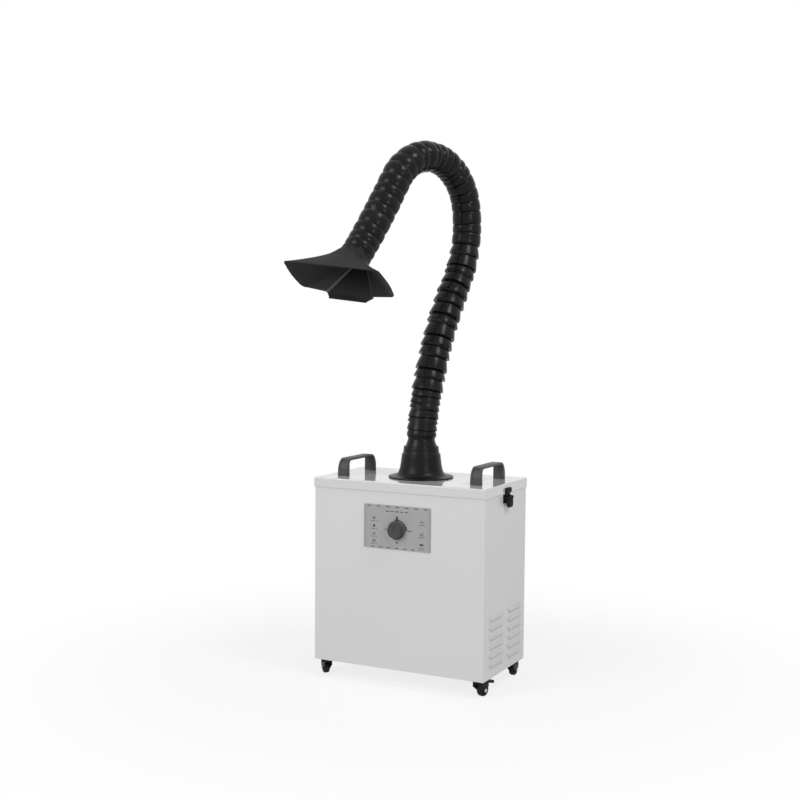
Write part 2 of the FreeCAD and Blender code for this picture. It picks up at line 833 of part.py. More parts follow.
def fan_impeller():
    """Back plate with a hub, backward-curved blades and a shroud ring round the eye."""
    shroud = fan_bottom + fan_plate_t + fan_blade_h
    hub_r, hub_h = fan_hub
    plate = rod(fan_r, Vec(0, 0, fan_bottom), Vec(0, 0, fan_bottom + fan_plate_t))
    hub = rod(hub_r, Vec(0, 0, fan_bottom + over), Vec(0, 0, fan_bottom + hub_h))
    ring = tube(fan_r, fan_eye_r + fan_shroud_gap, Vec(0, 0, shroud), Vec(0, 0, shroud + fan_plate_t))
    blade = slab(blade_profile, lambda x, y: Vec(x, y, fan_bottom + over),
                 Vec(0, 0, fan_blade_h + fan_plate_t))
    blades = []
    for i in range(fan_blades):
        copy = blade.copy()
        copy.rotate(Vec(0, 0, 0), Vec(0, 0, 1), 360.0 * i / fan_blades)
        blades.append(copy)
    wheel = fused([plate, hub, ring] + blades)
    return wheel.cut(rod(fan_shaft_r, Vec(0, 0, fan_bottom - over), Vec(0, 0, fan_bottom + hub_h + over)))


def caster_spots():
    for name, turn in caster_headings.items():
        x = caster_x if "right" in name else -caster_x
        y = -caster_y if "front" in name else caster_y
        yield name, Vec(x, y, 0), turn


def placed(shape, spot, turn):
    """A caster piece made about the swivel axis with its wheel trailing towards +X, put in place."""
    copy = shape.copy()
    copy.rotate(Vec(0, 0, 0), Vec(0, 0, 1), turn)
    copy.translate(spot)
    return copy


def caster_plate_piece():
    """Top plate, bearing race, kingpin and rivet of one caster."""
    half = caster_plate / 2
    plate = rounded_plate((-half, half), (-half, half), (body_bottom - caster_plate_t, body_bottom),
                          caster_plate_r)
    race = rod(race_r, Vec(0, 0, fork_high + kingpin_gap), Vec(0, 0, body_bottom - over))
    pin = rod(kingpin_r, Vec(0, 0, rivet_z[0]), Vec(0, 0, fork_high + over))
    rivet = rod(rivet_r, Vec(0, 0, rivet_z[0]), Vec(0, 0, rivet_z[1]))
    return fused([plate, race, pin, rivet])


def caster_screws():
    """Screw heads under one caster plate."""
    reach = caster_plate / 2 - caster_screw_inset
    low, wide, high = caster_screw_head
    foot = body_bottom - caster_plate_t - high
    return [Part.makeCone(low, wide, high, Vec(x, y, foot), Vec(0, 0, 1))
            for x in (-reach, reach) for y in (-reach, reach)]


def across_wheel(radius, along, z, reach):
    """A round bar through the caster, a length each way from its middle."""
    return rod(radius, Vec(along, -reach, z), Vec(along, reach, z))


def caster_fork(braked):
    """Swivel disc and two cheeks that carry the axle, with a pedal pin on a braked caster."""
    close = wheel_w / 2 + fork_gap
    top_out, mid_out, low_out = cheek_out
    disc = tube(fork_disc_r, kingpin_r + kingpin_gap, Vec(0, 0, fork_low), Vec(0, 0, fork_high))
    cheek = [
        (cheek_back, fork_high), (wheel_trail + top_out, fork_high), (wheel_trail + mid_out, cheek_mid),
        (wheel_trail + low_out, cheek_low[0]), (wheel_trail, cheek_low[1], "arc"),
        (wheel_trail - low_out, cheek_low[0]), (cheek_back, cheek_mid),
    ]
    pieces = [disc]
    for start in (-close - fork_t, close):
        pieces.append(slab(cheek, lambda x, z: Vec(x, start, z), Vec(0, fork_t, 0)))
    fork = fused(pieces).cut(across_wheel(axle_r, wheel_trail, wheel_r, wheel_w))
    if braked:
        fork = fork.fuse(across_wheel(pedal_pin_r, pedal_t, pedal_z, close + over))
    return fork.removeSplitter()


def caster_axle():
    reach = wheel_w / 2 + fork_gap + fork_t
    head_r, head_t = axle_head
    heads = across_wheel(head_r, wheel_trail, wheel_r, reach + head_t)
    heads = heads.cut(across_wheel(head_r, wheel_trail, wheel_r, reach))
    return fused([across_wheel(axle_r, wheel_trail, wheel_r, reach + head_t), heads])


def caster_wheel():
    half = wheel_w / 2
    wheel = across_wheel(wheel_r, wheel_trail, wheel_r, half)
    wheel = rounded(wheel, wheel_edge_r, lambda e: isinstance(e.Curve, Part.Circle))
    dish = across_wheel(dish_r, wheel_trail, wheel_r, half + over)
    dish = dish.cut(across_wheel(dish_r, wheel_trail, wheel_r, half - dish_depth))
    return wheel.cut(dish).cut(across_wheel(axle_r + pin_gap, wheel_trail, wheel_r, half + over))


def brake_pedal():
    """Foot tab that pivots on the fork's pin behind the swivel disc."""
    half = wheel_w / 2
    far = pedal_t + pedal_reach
    tab = slab([
        (pedal_t, pedal_z + pedal_root[0]), (far, pedal_z + pedal_end[0]),
        (far, pedal_z + pedal_end[1]), (pedal_t, pedal_z + pedal_root[1]),
    ], lambda x, z: Vec(x, -half, z), Vec(0, 2 * half, 0))
    tab = rounded(tab, pedal_end_r, lambda e: upright(e) and e.CenterOfMass.x > far - near)
    hub = across_wheel(pedal_hub_r, pedal_t, pedal_z, half)
    bore = across_wheel(pedal_pin_r + pedal_gap, pedal_t, pedal_z, half + over)
    return tab.fuse(hub).cut(bore).removeSplitter()


def hose_nodes():
    made = {}
    for name, start, end, ribs in hose_pieces:
        gap = hose_joint_gap / 2
        if name == "hose_cuff":
            made[name] = hose_cuff(start, end - gap, ribs)
        elif name == "hood_collar":
            made[name] = hood_collar(start + gap, end, ribs)
        else:
            made[name] = hose_piece(start + gap, end - gap, ribs)
    return made


def caster_nodes():
    made = {"caster_plates": [], "cabinet_screws": rear_screws()}
    for name, spot, turn in caster_spots():
        braked = name in braked_casters
        made["caster_plates"].append(placed(caster_plate_piece(), spot, 0))
        made["cabinet_screws"] += [placed(head, spot, 0) for head in caster_screws()]
        made["caster_fork_" + name] = placed(caster_fork(braked), spot, turn)
        made["caster_axle_" + name] = placed(caster_axle(), spot, turn)
        made["caster_wheel_" + name] = placed(caster_wheel(), spot, turn)
        if braked:
            made["brake_pedal_" + name] = placed(brake_pedal(), spot, turn)
    for name in ("caster_plates", "cabinet_screws"):
        made[name] = Part.makeCompound(made[name])
    return made


def all_nodes():
    nodes = {
        "cabinet_shell": cabinet_shell(),
        "rear_panel": rear_panel(),
        "base_plate": base_plate(),
        "fan_deck": fan_deck(),
        "inlet_ring": inlet_ring(),
        "filter_seal": filter_ring(filter_w, filter_d, seal_w, (deck_z + sheet, seal_top)),
        "filter_frame": filter_ring(filter_w, filter_d, frame_t, (seal_top, frame_top)),
        "filter_media": filter_media(),
        "carbon_filter": pad((frame_top, carbon_top)),
        "prefilter": pad((carbon_top, carbon_top + prefilter_h)),
        "lid_gasket": lid_gasket(),
        "lid_cover": lid_cover(),
        "lid_screws": lid_screws(),
        "clamp_ring": clamp_ring(),
        "hose_flange": hose_flange(),
        "handle_right": handle(),
        "handle_left": mirrored(handle()),
        "latch_bases": both_sides(latch_base()),
        "latch_pins": both_sides(latch_pin()),
        "latch_lever_right": latch_lever(),
        "latch_lever_left": mirrored(latch_lever()),
        "latch_hook_right": latch_hook(),
        "latch_hook_left": mirrored(latch_hook()),
        "hood": hood(),
        "control_panel": control_panel(),
        "speed_control": speed_control(),
        "speed_knob": speed_knob(),
        "knob_shaft": knob_shaft(),
        "control_board": control_board(),
        "mains_inlet": mains_inlet(),
        "motor_bracket": motor_bracket(),
        "fan_motor": fan_motor(),
        "fan_shaft": fan_shaft(),
        "fan_impeller": fan_impeller(),
    }
    nodes.update(hose_nodes())
    nodes.update(caster_nodes())
    return nodes


os.makedirs("parts", exist_ok=True)
for node, shape in all_nodes().items():
    shape.exportStep("parts/" + node + ".step")
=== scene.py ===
"""Looks of a portable fume extractor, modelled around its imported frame, in metres."""
import bisect
import json
import math

import bmesh
import bpy
from bpy.props import FloatProperty, FloatVectorProperty, IntProperty, PointerProperty
from mathutils import Matrix, Vector


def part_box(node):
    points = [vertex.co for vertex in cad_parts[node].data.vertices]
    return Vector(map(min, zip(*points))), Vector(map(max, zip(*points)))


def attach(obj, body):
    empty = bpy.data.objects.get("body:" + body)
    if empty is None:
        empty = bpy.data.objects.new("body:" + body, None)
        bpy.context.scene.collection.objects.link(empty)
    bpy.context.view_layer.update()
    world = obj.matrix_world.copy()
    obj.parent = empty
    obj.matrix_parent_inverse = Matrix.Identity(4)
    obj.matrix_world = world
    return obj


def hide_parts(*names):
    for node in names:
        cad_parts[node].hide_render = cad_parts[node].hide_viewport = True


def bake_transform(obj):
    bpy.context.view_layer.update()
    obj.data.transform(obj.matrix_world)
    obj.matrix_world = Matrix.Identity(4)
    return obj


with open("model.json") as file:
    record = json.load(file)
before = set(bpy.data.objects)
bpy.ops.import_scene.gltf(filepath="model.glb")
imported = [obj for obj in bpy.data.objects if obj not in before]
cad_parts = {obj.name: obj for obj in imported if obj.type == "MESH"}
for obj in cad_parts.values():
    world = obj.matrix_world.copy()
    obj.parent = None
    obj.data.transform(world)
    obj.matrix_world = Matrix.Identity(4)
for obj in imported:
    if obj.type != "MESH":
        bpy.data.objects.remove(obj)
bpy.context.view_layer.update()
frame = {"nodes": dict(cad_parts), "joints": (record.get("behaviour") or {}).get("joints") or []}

bl_info = {
    "name": "Fume Extractor Looks",
    "version": (1, 0, 0),
    "blender": (4, 5, 0),
    "location": "View3D > Sidebar > Extractor",
    "description": "Models and finishes a portable fume extractor around its frame",
    "category": "Object",
}

JOINTS = {joint["name"]: joint for joint in frame["joints"]}
UP = Vector((0, 0, 1))
FRONT = Vector((0, -1, 0))
CASTERS = ("front_left", "front_right", "rear_left", "rear_right")
SIDES = {"left": -1, "right": 1}

# Points nearer to each other than this are one point
TOUCH = 1e-6


def length(name, description, default):
    return FloatProperty(name=name, description=description, default=default, min=0, unit="LENGTH",
                         subtype="DISTANCE", precision=4)


def colour(name, description, *rgb):
    """A colour by its red, green and blue, or a grey by one value."""
    return FloatVectorProperty(name=name, description=description, default=rgb * (3 // len(rgb)), size=3,
                               min=0, max=1, subtype="COLOR")


def angle(name, description, degrees):
    return FloatProperty(name=name, description=description, default=math.radians(degrees), subtype="ANGLE")


def power(name, description, default):
    return FloatProperty(name=name, description=description, default=default, min=0, unit="POWER")


class ExtractorSizes(bpy.types.PropertyGroup):
    """Sizes of the modelled pieces."""
    hose_bore: length("Hose bore radius", "Inside radius of the hose", 0.0285)
    cup_lean: FloatProperty(name="Cup lean", description="Most that a cup leans to one side", default=0.045,
                            subtype="ANGLE")
    hose_steps: IntProperty(name="Hose sides", description="Faces round the hose", default=72, min=12)
    hood_wall: length("Hood wall", "Thickness of the hood", 0.0022)
    hood_edge: length("Hood edge", "Rounding of the hood's creases and rim", 0.0012)
    channel: length("Hood channel", "Depth of the channel that runs to the tongue", 0.0055)
    handle_edge: length("Handle edge", "Rounding of the handles", 0.0016)
    pocket: length("Screw pocket", "Depth of the pocket in each handle leg", 0.002)
    pocket_border: length("Pocket border", "Width left round a screw pocket", 0.0035)
    flutes: IntProperty(name="Knob flutes", description="Finger flutes round the knob", default=18, min=3)
    ink: length("Print thickness", "Height of the printed marks on the overlay", 0.0002)
    edge: length("Moulded edge", "Rounding of small moulded pieces", 0.0006)
    pad_edge: length("Filter pad edge", "Rounding of the filter pads", 0.006)
    pad_crown: length("Filter pad crown", "Rise of the prefilter's middle", 0.0015)


class ExtractorColours(bpy.types.PropertyGroup):
    """Colours of the finishes."""
    paint: colour("Cabinet paint", "Powder coat of the cabinet", 0.62, 0.62, 0.625)
    lid: colour("Lid paint", "Powder coat of the lid", 0.60)
    hose: colour("Hose", "Moulded hose cups", 0.0055)
    flange: colour("Flange", "Hose flange", 0.007)
    hood: colour("Hood", "Suction hood", 0.016)
    # painted highlight: the ridges inside the hood get this far paler colour so that they look lit
    ridge: colour("Hood ridges", "Rubbed ridges inside the hood", 0.11)
    handle: colour("Handles", "Carrying handles", 0.074)
    knob: colour("Knob", "Speed knob", 0.064)
    overlay: colour("Overlay", "Film of the control panel", 0.33)
    band: colour("Overlay band", "Darker bands at the film's ends", 0.29)
    ink: colour("Print", "Marks on the control panel", 0.024)
    latch: colour("Latches", "Toggle latches", 0.016)
    caster: colour("Casters", "Caster forks and pedals", 0.015)
    tread: colour("Treads", "Caster wheels", 0.016)
    steel: colour("Steel", "Zinc plated steel", 0.52, 0.53, 0.54)
    fibre: colour("Prefilter", "Fibre of the prefilter", 0.72, 0.74, 0.72)
    carbon: colour("Carbon foam", "Foam of the carbon filter", 0.02)
    paper: colour("Filter paper", "Pleated paper", 0.76, 0.75, 0.70)
    card: colour("Filter card", "Frame of the filter", 0.58, 0.58, 0.56)
    seal: colour("Seals", "Foam of the seals", 0.03)
    inlet: colour("Inlet", "Mains inlet, speed control and its board", 0.02)
    motor: colour("Motor", "Paint of the motor", 0.16, 0.17, 0.18)
    impeller: colour("Impeller", "Wheel of the blower", 0.05, 0.05, 0.055)


class ExtractorStage(bpy.types.PropertyGroup):
    """Camera and studio light."""
    lens: FloatProperty(name="Lens", description="Focal length", default=58.32, subtype="DISTANCE_CAMERA")
    eye: FloatVectorProperty(name="Eye", description="Where the camera stands", size=3, unit="LENGTH",
                             subtype="TRANSLATION", default=(1.313, -2.698, 0.850))
    yaw: angle("Yaw", "Turn of the camera to the left of straight back", 26.91)
    pitch: angle("Pitch", "How far the camera looks down", 3.86)
    roll: angle("Roll", "Turn of the camera about its own line of sight", 0.46)
    key: power("Key", "Large soft light in front, to the left", 74.0)
    side: power("Side", "Smaller light to the right", 7.5)
    top: power("Top", "Soft light overhead, to the right", 32.0)
    sky: FloatProperty(name="Sky", description="Even light from all round", default=0.40, min=0)


class Value:
    """A shader socket. Arithmetic on it adds Math nodes."""

    def __init__(self, finish, socket):
        self.finish = finish
        self.socket = socket

    def math(self, operation, first, second):
        return self.finish.node("ShaderNodeMath", {"operation": operation}, {0: first, 1: second})

    def __add__(self, other):
        return self.math("ADD", self, other)

    def __radd__(self, other):
        return self.math("ADD", other, self)

    def __sub__(self, other):
        return self.math("SUBTRACT", self, other)

    def __rsub__(self, other):
        return self.math("SUBTRACT", other, self)

    def __mul__(self, other):
        return self.math("MULTIPLY", self, other)

    def __rmul__(self, other):
        return self.math("MULTIPLY", other, self)

    def __mod__(self, other):
        return self.math("FLOORED_MODULO", self, other)

    def __abs__(self):
        return self.math("ABSOLUTE", self, 0.0)


# Start of the finishes' names, so that none is taken for a material that came with the solids
FINISH = "finish_"


class Finish:
    """One material and its nodes."""

    def __init__(self, name):
        self.material = bpy.data.materials.new(FINISH + name)
        self.material.use_nodes = True
        self.tree = self.material.node_tree
        self.tree.nodes.clear()

    def node(self, kind, settings=None, sockets=None, output=0):
        """Add a node: its settings first, then the values or links of its sockets."""
        made = self.tree.nodes.new(kind)
        for key, value in (settings or {}).items():
            setattr(made, key, value)
        for key, value in (sockets or {}).items():
            if isinstance(value, Value):
                self.tree.links.new(value.socket, made.inputs[key])
            else:
                made.inputs[key].default_value = value
        return Value(self, made.outputs[output]) if made.outputs else None

    def spot(self, stretch=(1, 1, 1)):
        place = self.node("ShaderNodeTexCoord", output="Object")
        return self.node("ShaderNodeMapping", {}, {"Vector": place, "Scale": stretch})

    def noise(self, scale, detail=2.0, stretch=(1, 1, 1)):
        return self.node("ShaderNodeTexNoise", {},
                         {"Vector": self.spot(stretch), "Scale": scale, "Detail": detail})

    def cells(self, scale):
        return self.node("ShaderNodeTexVoronoi", {}, {"Vector": self.spot(), "Scale": scale})

    def between(self, value, low, high):
        """Where a value lies between two limits, from 0 to 1, clamped."""
        return self.node("ShaderNodeMapRange", {"interpolation_type": "SMOOTHSTEP"},
                         {"Value": value, "From Min": low, "From Max": high})

    def mix(self, share, first, second):
        """Two colours mixed; a Mix node's sockets for colours are 6 and 7, and 2 going out."""
        return self.node("ShaderNodeMix", {"data_type": "RGBA"}, {0: share, 6: first, 7: second}, output=2)

    def surface(self, sockets, height, depth, strength):
        """The shader itself, with a bump of a depth in metres."""
        bump = self.node("ShaderNodeBump", {}, {"Strength": strength, "Distance": depth, "Height": height})
        shader = self.node("ShaderNodeBsdfPrincipled", {}, {**sockets, "Normal": bump})
        self.node("ShaderNodeOutputMaterial", {}, {"Surface": shader})


def tone(rgb, factor=1.0):
    return tuple(min(part * factor, 1.0) for part in rgb) + (1.0,)


# Painted shade by the louvres of the side walls: darker paint that stands in for the shadow under each lip
# and for shade on each louvre's slope, as limits between none and full: across a wall, from the middle of a
# louvre, at the lowest and the highest row, and as shares of a row, under a lip and on a louvre's slope
PAINTED_SHADE_WALL = (0.2139, 0.2149)
PAINTED_SHADE_LONG = (0.040, 0.032)
PAINTED_SHADE_LOWEST = (0.057, 0.059)
PAINTED_SHADE_HIGHEST = (0.182, 0.181)
PAINTED_SHADE_UNDER = (0.50, 0.96)
PAINTED_SHADE_SLOPE = (0.46, 0.38)
PAINTED_SHADE_ON_SLOPE = 0.45

# Louvres: height of the first lip, spacing of the rows, middle between the two columns and half their
# distance
LOUVRE_FIRST = 0.067
LOUVRE_STEP = 0.0209
LOUVRE_MIDDLE = 0.004
LOUVRE_APART = 0.054


def louvre_painted_shade(f):
    """Painted shade by the louvres: paint darkened most under each lip as a painted shadow, and less on the
    louvre itself to dull its lit slope.
    """
    x, y, z = (f.node("ShaderNodeSeparateXYZ", {}, {"Vector": f.spot()}, output=axis) for axis in range(3))
    row = (z - LOUVRE_FIRST) * (1 / LOUVRE_STEP) % 1.0
    along = abs(abs(y - LOUVRE_MIDDLE) - LOUVRE_APART)
    here = f.between(abs(x), *PAINTED_SHADE_WALL) * f.between(along, *PAINTED_SHADE_LONG)
    here = here * f.between(z, *PAINTED_SHADE_LOWEST) * f.between(z, *PAINTED_SHADE_HIGHEST)
    return here * (f.between(row, *PAINTED_SHADE_UNDER) + PAINTED_SHADE_ON_SLOPE * f.between(row, *PAINTED_SHADE_SLOPE))


def powder_coat(name, rgb, roughness, coat, painted_shade_strength):
    """Baked powder paint: faint mottling, orange peel, wiped smears, dust towards the floor and painted shade
    by the louvres.
    """
    f = Finish(name)
    mottle = f.noise(5.0, 3.0)
    peel = f.noise(420.0, 1.5)
    smear = f.noise(11.0, 3.0, (1, 1, 0.3))
    body = f.mix(mottle, tone(rgb, 0.97), tone(rgb, 1.02))
    height = f.node("ShaderNodeSeparateXYZ", {}, {"Vector": f.spot()}, output="Z")
    dust = f.between(height, 0.12, 0.03) * f.between(f.noise(60.0, 4.0), 0.45, 0.75)
    body = f.mix(0.06 * dust, body, tone(rgb, 0.72))
    # painted shade: darker paint under the louvre lips and on their slopes stands in for their shadow
    if painted_shade_strength:
        body = f.mix(painted_shade_strength * louvre_painted_shade(f), body, tone(rgb, 0.55))
    f.surface({
        "Base Color": body,
        "Roughness": roughness + 0.10 * (smear - 0.5),
        "Coat Weight": coat,
        "Coat Roughness": 0.06,
    }, height=peel, depth=0.00012, strength=0.35)


def moulded(name, rgb, roughness, grain, scuff, specular):
    """Moulded plastic with a fine spark grain, slow flow marks and a few rubbed spots."""
    f = Finish(name)
    flow = f.noise(18.0, 3.0)
    fine = f.noise(grain, 2.0)
    rubbed = f.between(f.noise(75.0, 5.0), 0.60, 0.78)
    body = f.mix(flow, tone(rgb, 0.86), tone(rgb, 1.14))
    body = f.mix(scuff * rubbed, body, tone(rgb, 3.0))
    f.surface({
        "Base Color": body,
        "Roughness": roughness + 0.12 * (flow - 0.5) + 0.08 * rubbed,
        "Specular IOR Level": specular,
    }, height=fine, depth=0.00012, strength=0.4)


def hose_skin(name, rgb, roughness, specular):
    """Soft moulded cups: worn lips, pale dust under them that also works as painted fill light in their
    shade, and fine specks.
    """
    f = Finish(name)
    rib, under = (f.node("ShaderNodeAttribute", {"attribute_name": key}, output="Fac")
                  for key in ("rib", "under"))
    flow = f.noise(26.0, 4.0)
    speck = f.noise(900.0, 2.0)
    worn = f.between(rib, 0.86, 1.0) * f.between(f.noise(48.0, 4.0), 0.42, 0.70)
    dust_and_painted_fill = under * f.between(f.noise(33.0, 3.0), 0.15, 0.60)
    body = f.mix(flow, tone(rgb, 0.80), tone(rgb, 1.25))
    body = f.mix(0.35 * worn, body, tone(rgb, 3.2))
    # pale dust under the lips: partly real dust, partly painted fill light that lifts the shade there
    body = f.mix(0.90 * dust_and_painted_fill, body, tone(rgb, 16.0))
    f.surface({
        "Base Color": body,
        "Roughness": roughness + 0.16 * (flow - 0.5) + 0.10 * dust_and_painted_fill - 0.05 * worn,
        "Specular IOR Level": specular,
    }, height=speck, depth=0.00012, strength=0.15)


def brushed(name, rgb, roughness, grain):
    """Plated sheet or bar with drawn streaks and dull patches."""
    f = Finish(name)
    streak = f.noise(900.0, 2.0, grain)
    patch = f.cells(55.0)
    body = f.mix(streak, tone(rgb, 0.82), tone(rgb, 1.12))
    body = f.mix(0.25 * patch, body, tone(rgb, 0.75))
    f.surface({
        "Base Color": body,
        "Metallic": 1.0,
        "Roughness": roughness + 0.15 * (streak - 0.5) + 0.08 * patch,
    }, height=streak, depth=0.00006, strength=0.3)


def fibrous(name, rgb, scale, depth):
    """Felted fibre or open foam: crossing strands with dark gaps."""
    f = Finish(name)
    strand = f.noise(scale, 6.0, (1, 0.3, 1))
    cross = f.noise(scale, 6.0, (0.3, 1, 1))
    gap = f.between(strand * cross, 0.12, 0.42)
    body = f.mix(gap, tone(rgb, 0.45), tone(rgb, 1.05))
    f.surface({"Base Color": body, "Roughness": 0.95 - 0.1 * gap}, height=gap, depth=depth, strength=0.8)


def film(name, rgb, roughness):
    """Printed polyester film: a fine velvet texture and slight unevenness of print."""
    f = Finish(name)
    velvet = f.noise(1600.0, 1.0)
    uneven = f.noise(40.0, 4.0)
    f.surface({
        "Base Color": f.mix(uneven, tone(rgb, 0.95), tone(rgb, 1.05)),
        "Roughness": roughness + 0.08 * (uneven - 0.5),
    }, height=velvet, depth=0.00005, strength=0.3)


def finishes(colours):
    """Make every finish of the object."""
    # the last column is the strength of the painted shade by the louvres
    for name, rgb, roughness, coat, painted_shade_strength in (
            ("cabinet_paint", colours.paint, 0.34, 0.15, 0.5),
            ("lid_paint", colours.lid, 0.14, 0.6, 0.0)):
        powder_coat(name, rgb, roughness, coat, painted_shade_strength)
    for name, roughness, grain in (
            ("zinc_sheet", 0.38, (1, 1, 0.04)),
            ("screw_steel", 0.30, (1, 1, 0.04)),
            ("axle_steel", 0.35, (1, 1, 1))):
        brushed(name, colours.steel, roughness, grain)
    for name, rgb, scale, depth in (
            ("seal_foam", colours.seal, 700.0, 0.0004),
            ("filter_card", colours.card, 260.0, 0.0002),
            ("pleat_paper", colours.paper, 420.0, 0.0003),
            ("carbon_foam", colours.carbon, 330.0, 0.0012),
            ("fibre_pad", colours.fibre, 240.0, 0.0012)):
        fibrous(name, rgb, scale, depth)
    for name, rgb, roughness in (
            ("overlay_film", colours.overlay, 0.42),
            ("overlay_band", colours.band, 0.42),
            ("overlay_ink", colours.ink, 0.5)):
        film(name, rgb, roughness)
    for name, rgb, roughness, grain, scuff, specular in (
            ("knob_plastic", colours.knob, 0.50, 1500.0, 0.12, 0.12),
            ("knob_ring", colours.ink, 0.35, 1500.0, 0.12, 0.3),
            ("handle_plastic", colours.handle, 0.45, 1100.0, 0.12, 0.16),
            ("latch_nylon", colours.latch, 0.50, 1300.0, 0.04, 0.02),
            ("flange_skin", colours.flange, 0.34, 1200.0, 0.08, 0.13),
            ("hood_skin", colours.hood, 0.52, 1000.0, 0.08, 0.12),
            # a paler copy of the hood's plastic: a painted highlight on the ridges inside the hood
            ("hood_ridge", colours.ridge, 0.45, 1000.0, 0.08, 0.2),
            ("caster_nylon", colours.caster, 0.42, 1400.0, 0.08, 0.08),
            ("tread_rubber", colours.tread, 0.60, 900.0, 0.15, 0.12),
            ("inlet_plastic", colours.inlet, 0.45, 1400.0, 0.12, 0.3),
            ("motor_paint", colours.motor, 0.45, 700.0, 0.12, 0.3),
            ("impeller", colours.impeller, 0.5, 900.0, 0.12, 0.3)):
        moulded(name, rgb, roughness, grain, scuff, specular)
    hose_skin("hose_skin", colours.hose, roughness=0.26, specular=0.14)


def finish(name):
    return bpy.data.materials[FINISH + name]


def dress(finish_name, *nodes):
    """Give frame nodes a finish."""
    for node in nodes:
        for slot in frame["nodes"][node].material_slots:
            slot.material = finish(finish_name)


def closed(bm):
    """Merge what lies together and turn every face outwards."""
    bmesh.ops.remove_doubles(bm, verts=bm.verts, dist=TOUCH)
    bmesh.ops.recalc_face_normals(bm, faces=bm.faces)
    return bm


def piece(name, bm, finish_name, slot, body=None, node=None, sharp=math.radians(35)):
    """A finished object at the origin, shaded smooth apart from its sharp edges, which rides on a body and
    stands for a frame node."""
    mesh = bpy.data.meshes.new(name)
    bm.to_mesh(mesh)
    bm.free()
    mesh.polygons.foreach_set("use_smooth", [True] * len(mesh.polygons))
    mesh.set_sharp_from_angle(angle=sharp)
    mesh.materials.append(finish(finish_name))
    made = bpy.data.objects.new(name, mesh)
    bpy.context.scene.collection.objects.link(made)
    if body:
        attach(made, body)
    if node:
        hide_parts(node)
    return made


def spun(points, steps, whole=True):
    """Turn a profile of (radius, height) about the upright axis; whole joins its last point to its first."""
    bm = bmesh.new()
    verts = [bm.verts.new((r, 0, z)) for r, z in points]
    ends = verts[1:] + verts[:1] if whole else verts[1:]
    edges = [bm.edges.new(pair) for pair in zip(verts, ends)]
    bmesh.ops.spin(bm, geom=verts + edges, cent=(0, 0, 0), axis=UP, angle=2 * math.pi, steps=steps,
                   use_merge=True)
    return closed(bm)


def laid(bm, foot, axis):
    """Turn an upright mesh onto an axis and put its foot at a place."""
    turn = Vector(axis).to_track_quat("Z", "Y").to_matrix().to_4x4()
    bmesh.ops.transform(bm, matrix=Matrix.Translation(foot) @ turn, verts=bm.verts)
    return bm


def points_of(made):
    """The points among what an operator has made."""
    return [v for v in made if isinstance(v, bmesh.types.BMVert)]

def block(bm, low, high):
    """Add a plain box to a mesh."""
    low = Vector(low)
    high = Vector(high)
    made = bmesh.ops.create_cube(bm, size=1)["verts"]
    bmesh.ops.scale(bm, vec=high - low, verts=made)
    bmesh.ops.translate(bm, vec=(low + high) / 2, verts=made)
    return made


def rounded(bm, edges, radius, segments=3):
    bmesh.ops.bevel(bm, geom=edges, offset=radius, offset_type="OFFSET", affect="EDGES", segments=segments,
                    profile=0.5, material=-1, clamp_overlap=True)


def crisp_edges(bm, least=math.radians(30)):
    return [e for e in bm.edges if e.is_manifold and e.calc_face_angle() > least]


def softened(node, radius, segments=2):
    """A copy of a frame node's mesh with its flat faces joined and its edges rounded."""
    bm = bmesh.new()
    bm.from_mesh(frame["nodes"][node].data)
    bmesh.ops.remove_doubles(bm, verts=bm.verts, dist=TOUCH)
    bmesh.ops.dissolve_limit(bm, angle_limit=math.radians(1), verts=bm.verts, edges=bm.edges)
    rounded(bm, crisp_edges(bm), radius, segments)
    return bm


def softened_piece(name, node, radius, finish_name, slot, body, segments=2):
    """A frame node with its edges rounded, as a piece that stands for it."""
    piece(name, softened(node, radius, segments), finish_name, slot, body, node)


# Room left at each end of a length of the hose
GAP = 0.00015

# The hose runs along arcs of (length, turn in degrees), positive towards the front
HOSE_ARCS = ((0.057, -9), (0.162, -9), (0.174, -11), (0.100, 18), (0.099, 23), (0.306, 136), (0.166, -4),
             (0.046, -4.4))

# One cup of the hose from where it leaves the one before: share of its pitch, share of its depth. A cup
# has a hooked lip, a rib is nearly flat, a wave is evenly round and a barrel has a small lip
CUP = ((0.0, 0.06), (-0.03, 0.50), (-0.070, 0.92), (-0.060, 1.0), (-0.02, 0.98), (0.10, 0.90), (0.30, 0.75),
       (0.50, 0.58), (0.70, 0.38), (0.85, 0.20), (0.95, 0.07))
RIB = ((0.0, 0.0), (0.02, 0.36), (0.07, 0.70), (0.16, 0.91), (0.30, 1.0), (0.50, 1.0), (0.70, 0.93),
       (0.85, 0.76), (0.94, 0.48), (0.98, 0.20))
WAVE = ((0.0, 0.0), (0.05, 0.12), (0.14, 0.45), (0.24, 0.78), (0.36, 0.97), (0.48, 1.0), (0.62, 0.94),
        (0.76, 0.74), (0.88, 0.40), (0.96, 0.09))
BARREL = ((0.0, 0.05), (-0.02, 0.45), (-0.035, 0.76), (-0.02, 0.88), (0.05, 0.95), (0.16, 1.0), (0.32, 1.0),
          (0.48, 0.93), (0.63, 0.80), (0.77, 0.60), (0.88, 0.36), (0.96, 0.10))

# Pale dust under the lips, also painted fill light that lifts their shade: how high on a cup it reaches and
# how thick it lies, both as shares
UNDERSIDE = {CUP: (0.75, 1.0), BARREL: (0.95, 0.35)}

# How far a lip reaches back and how uneven the cups are, both as shares of the pitch, and the turn in
# radians from the way that one cup leans to the next one's
LIP_REACH = 0.075
CUP_SWAY = 0.12
CUP_TURN = 2.4

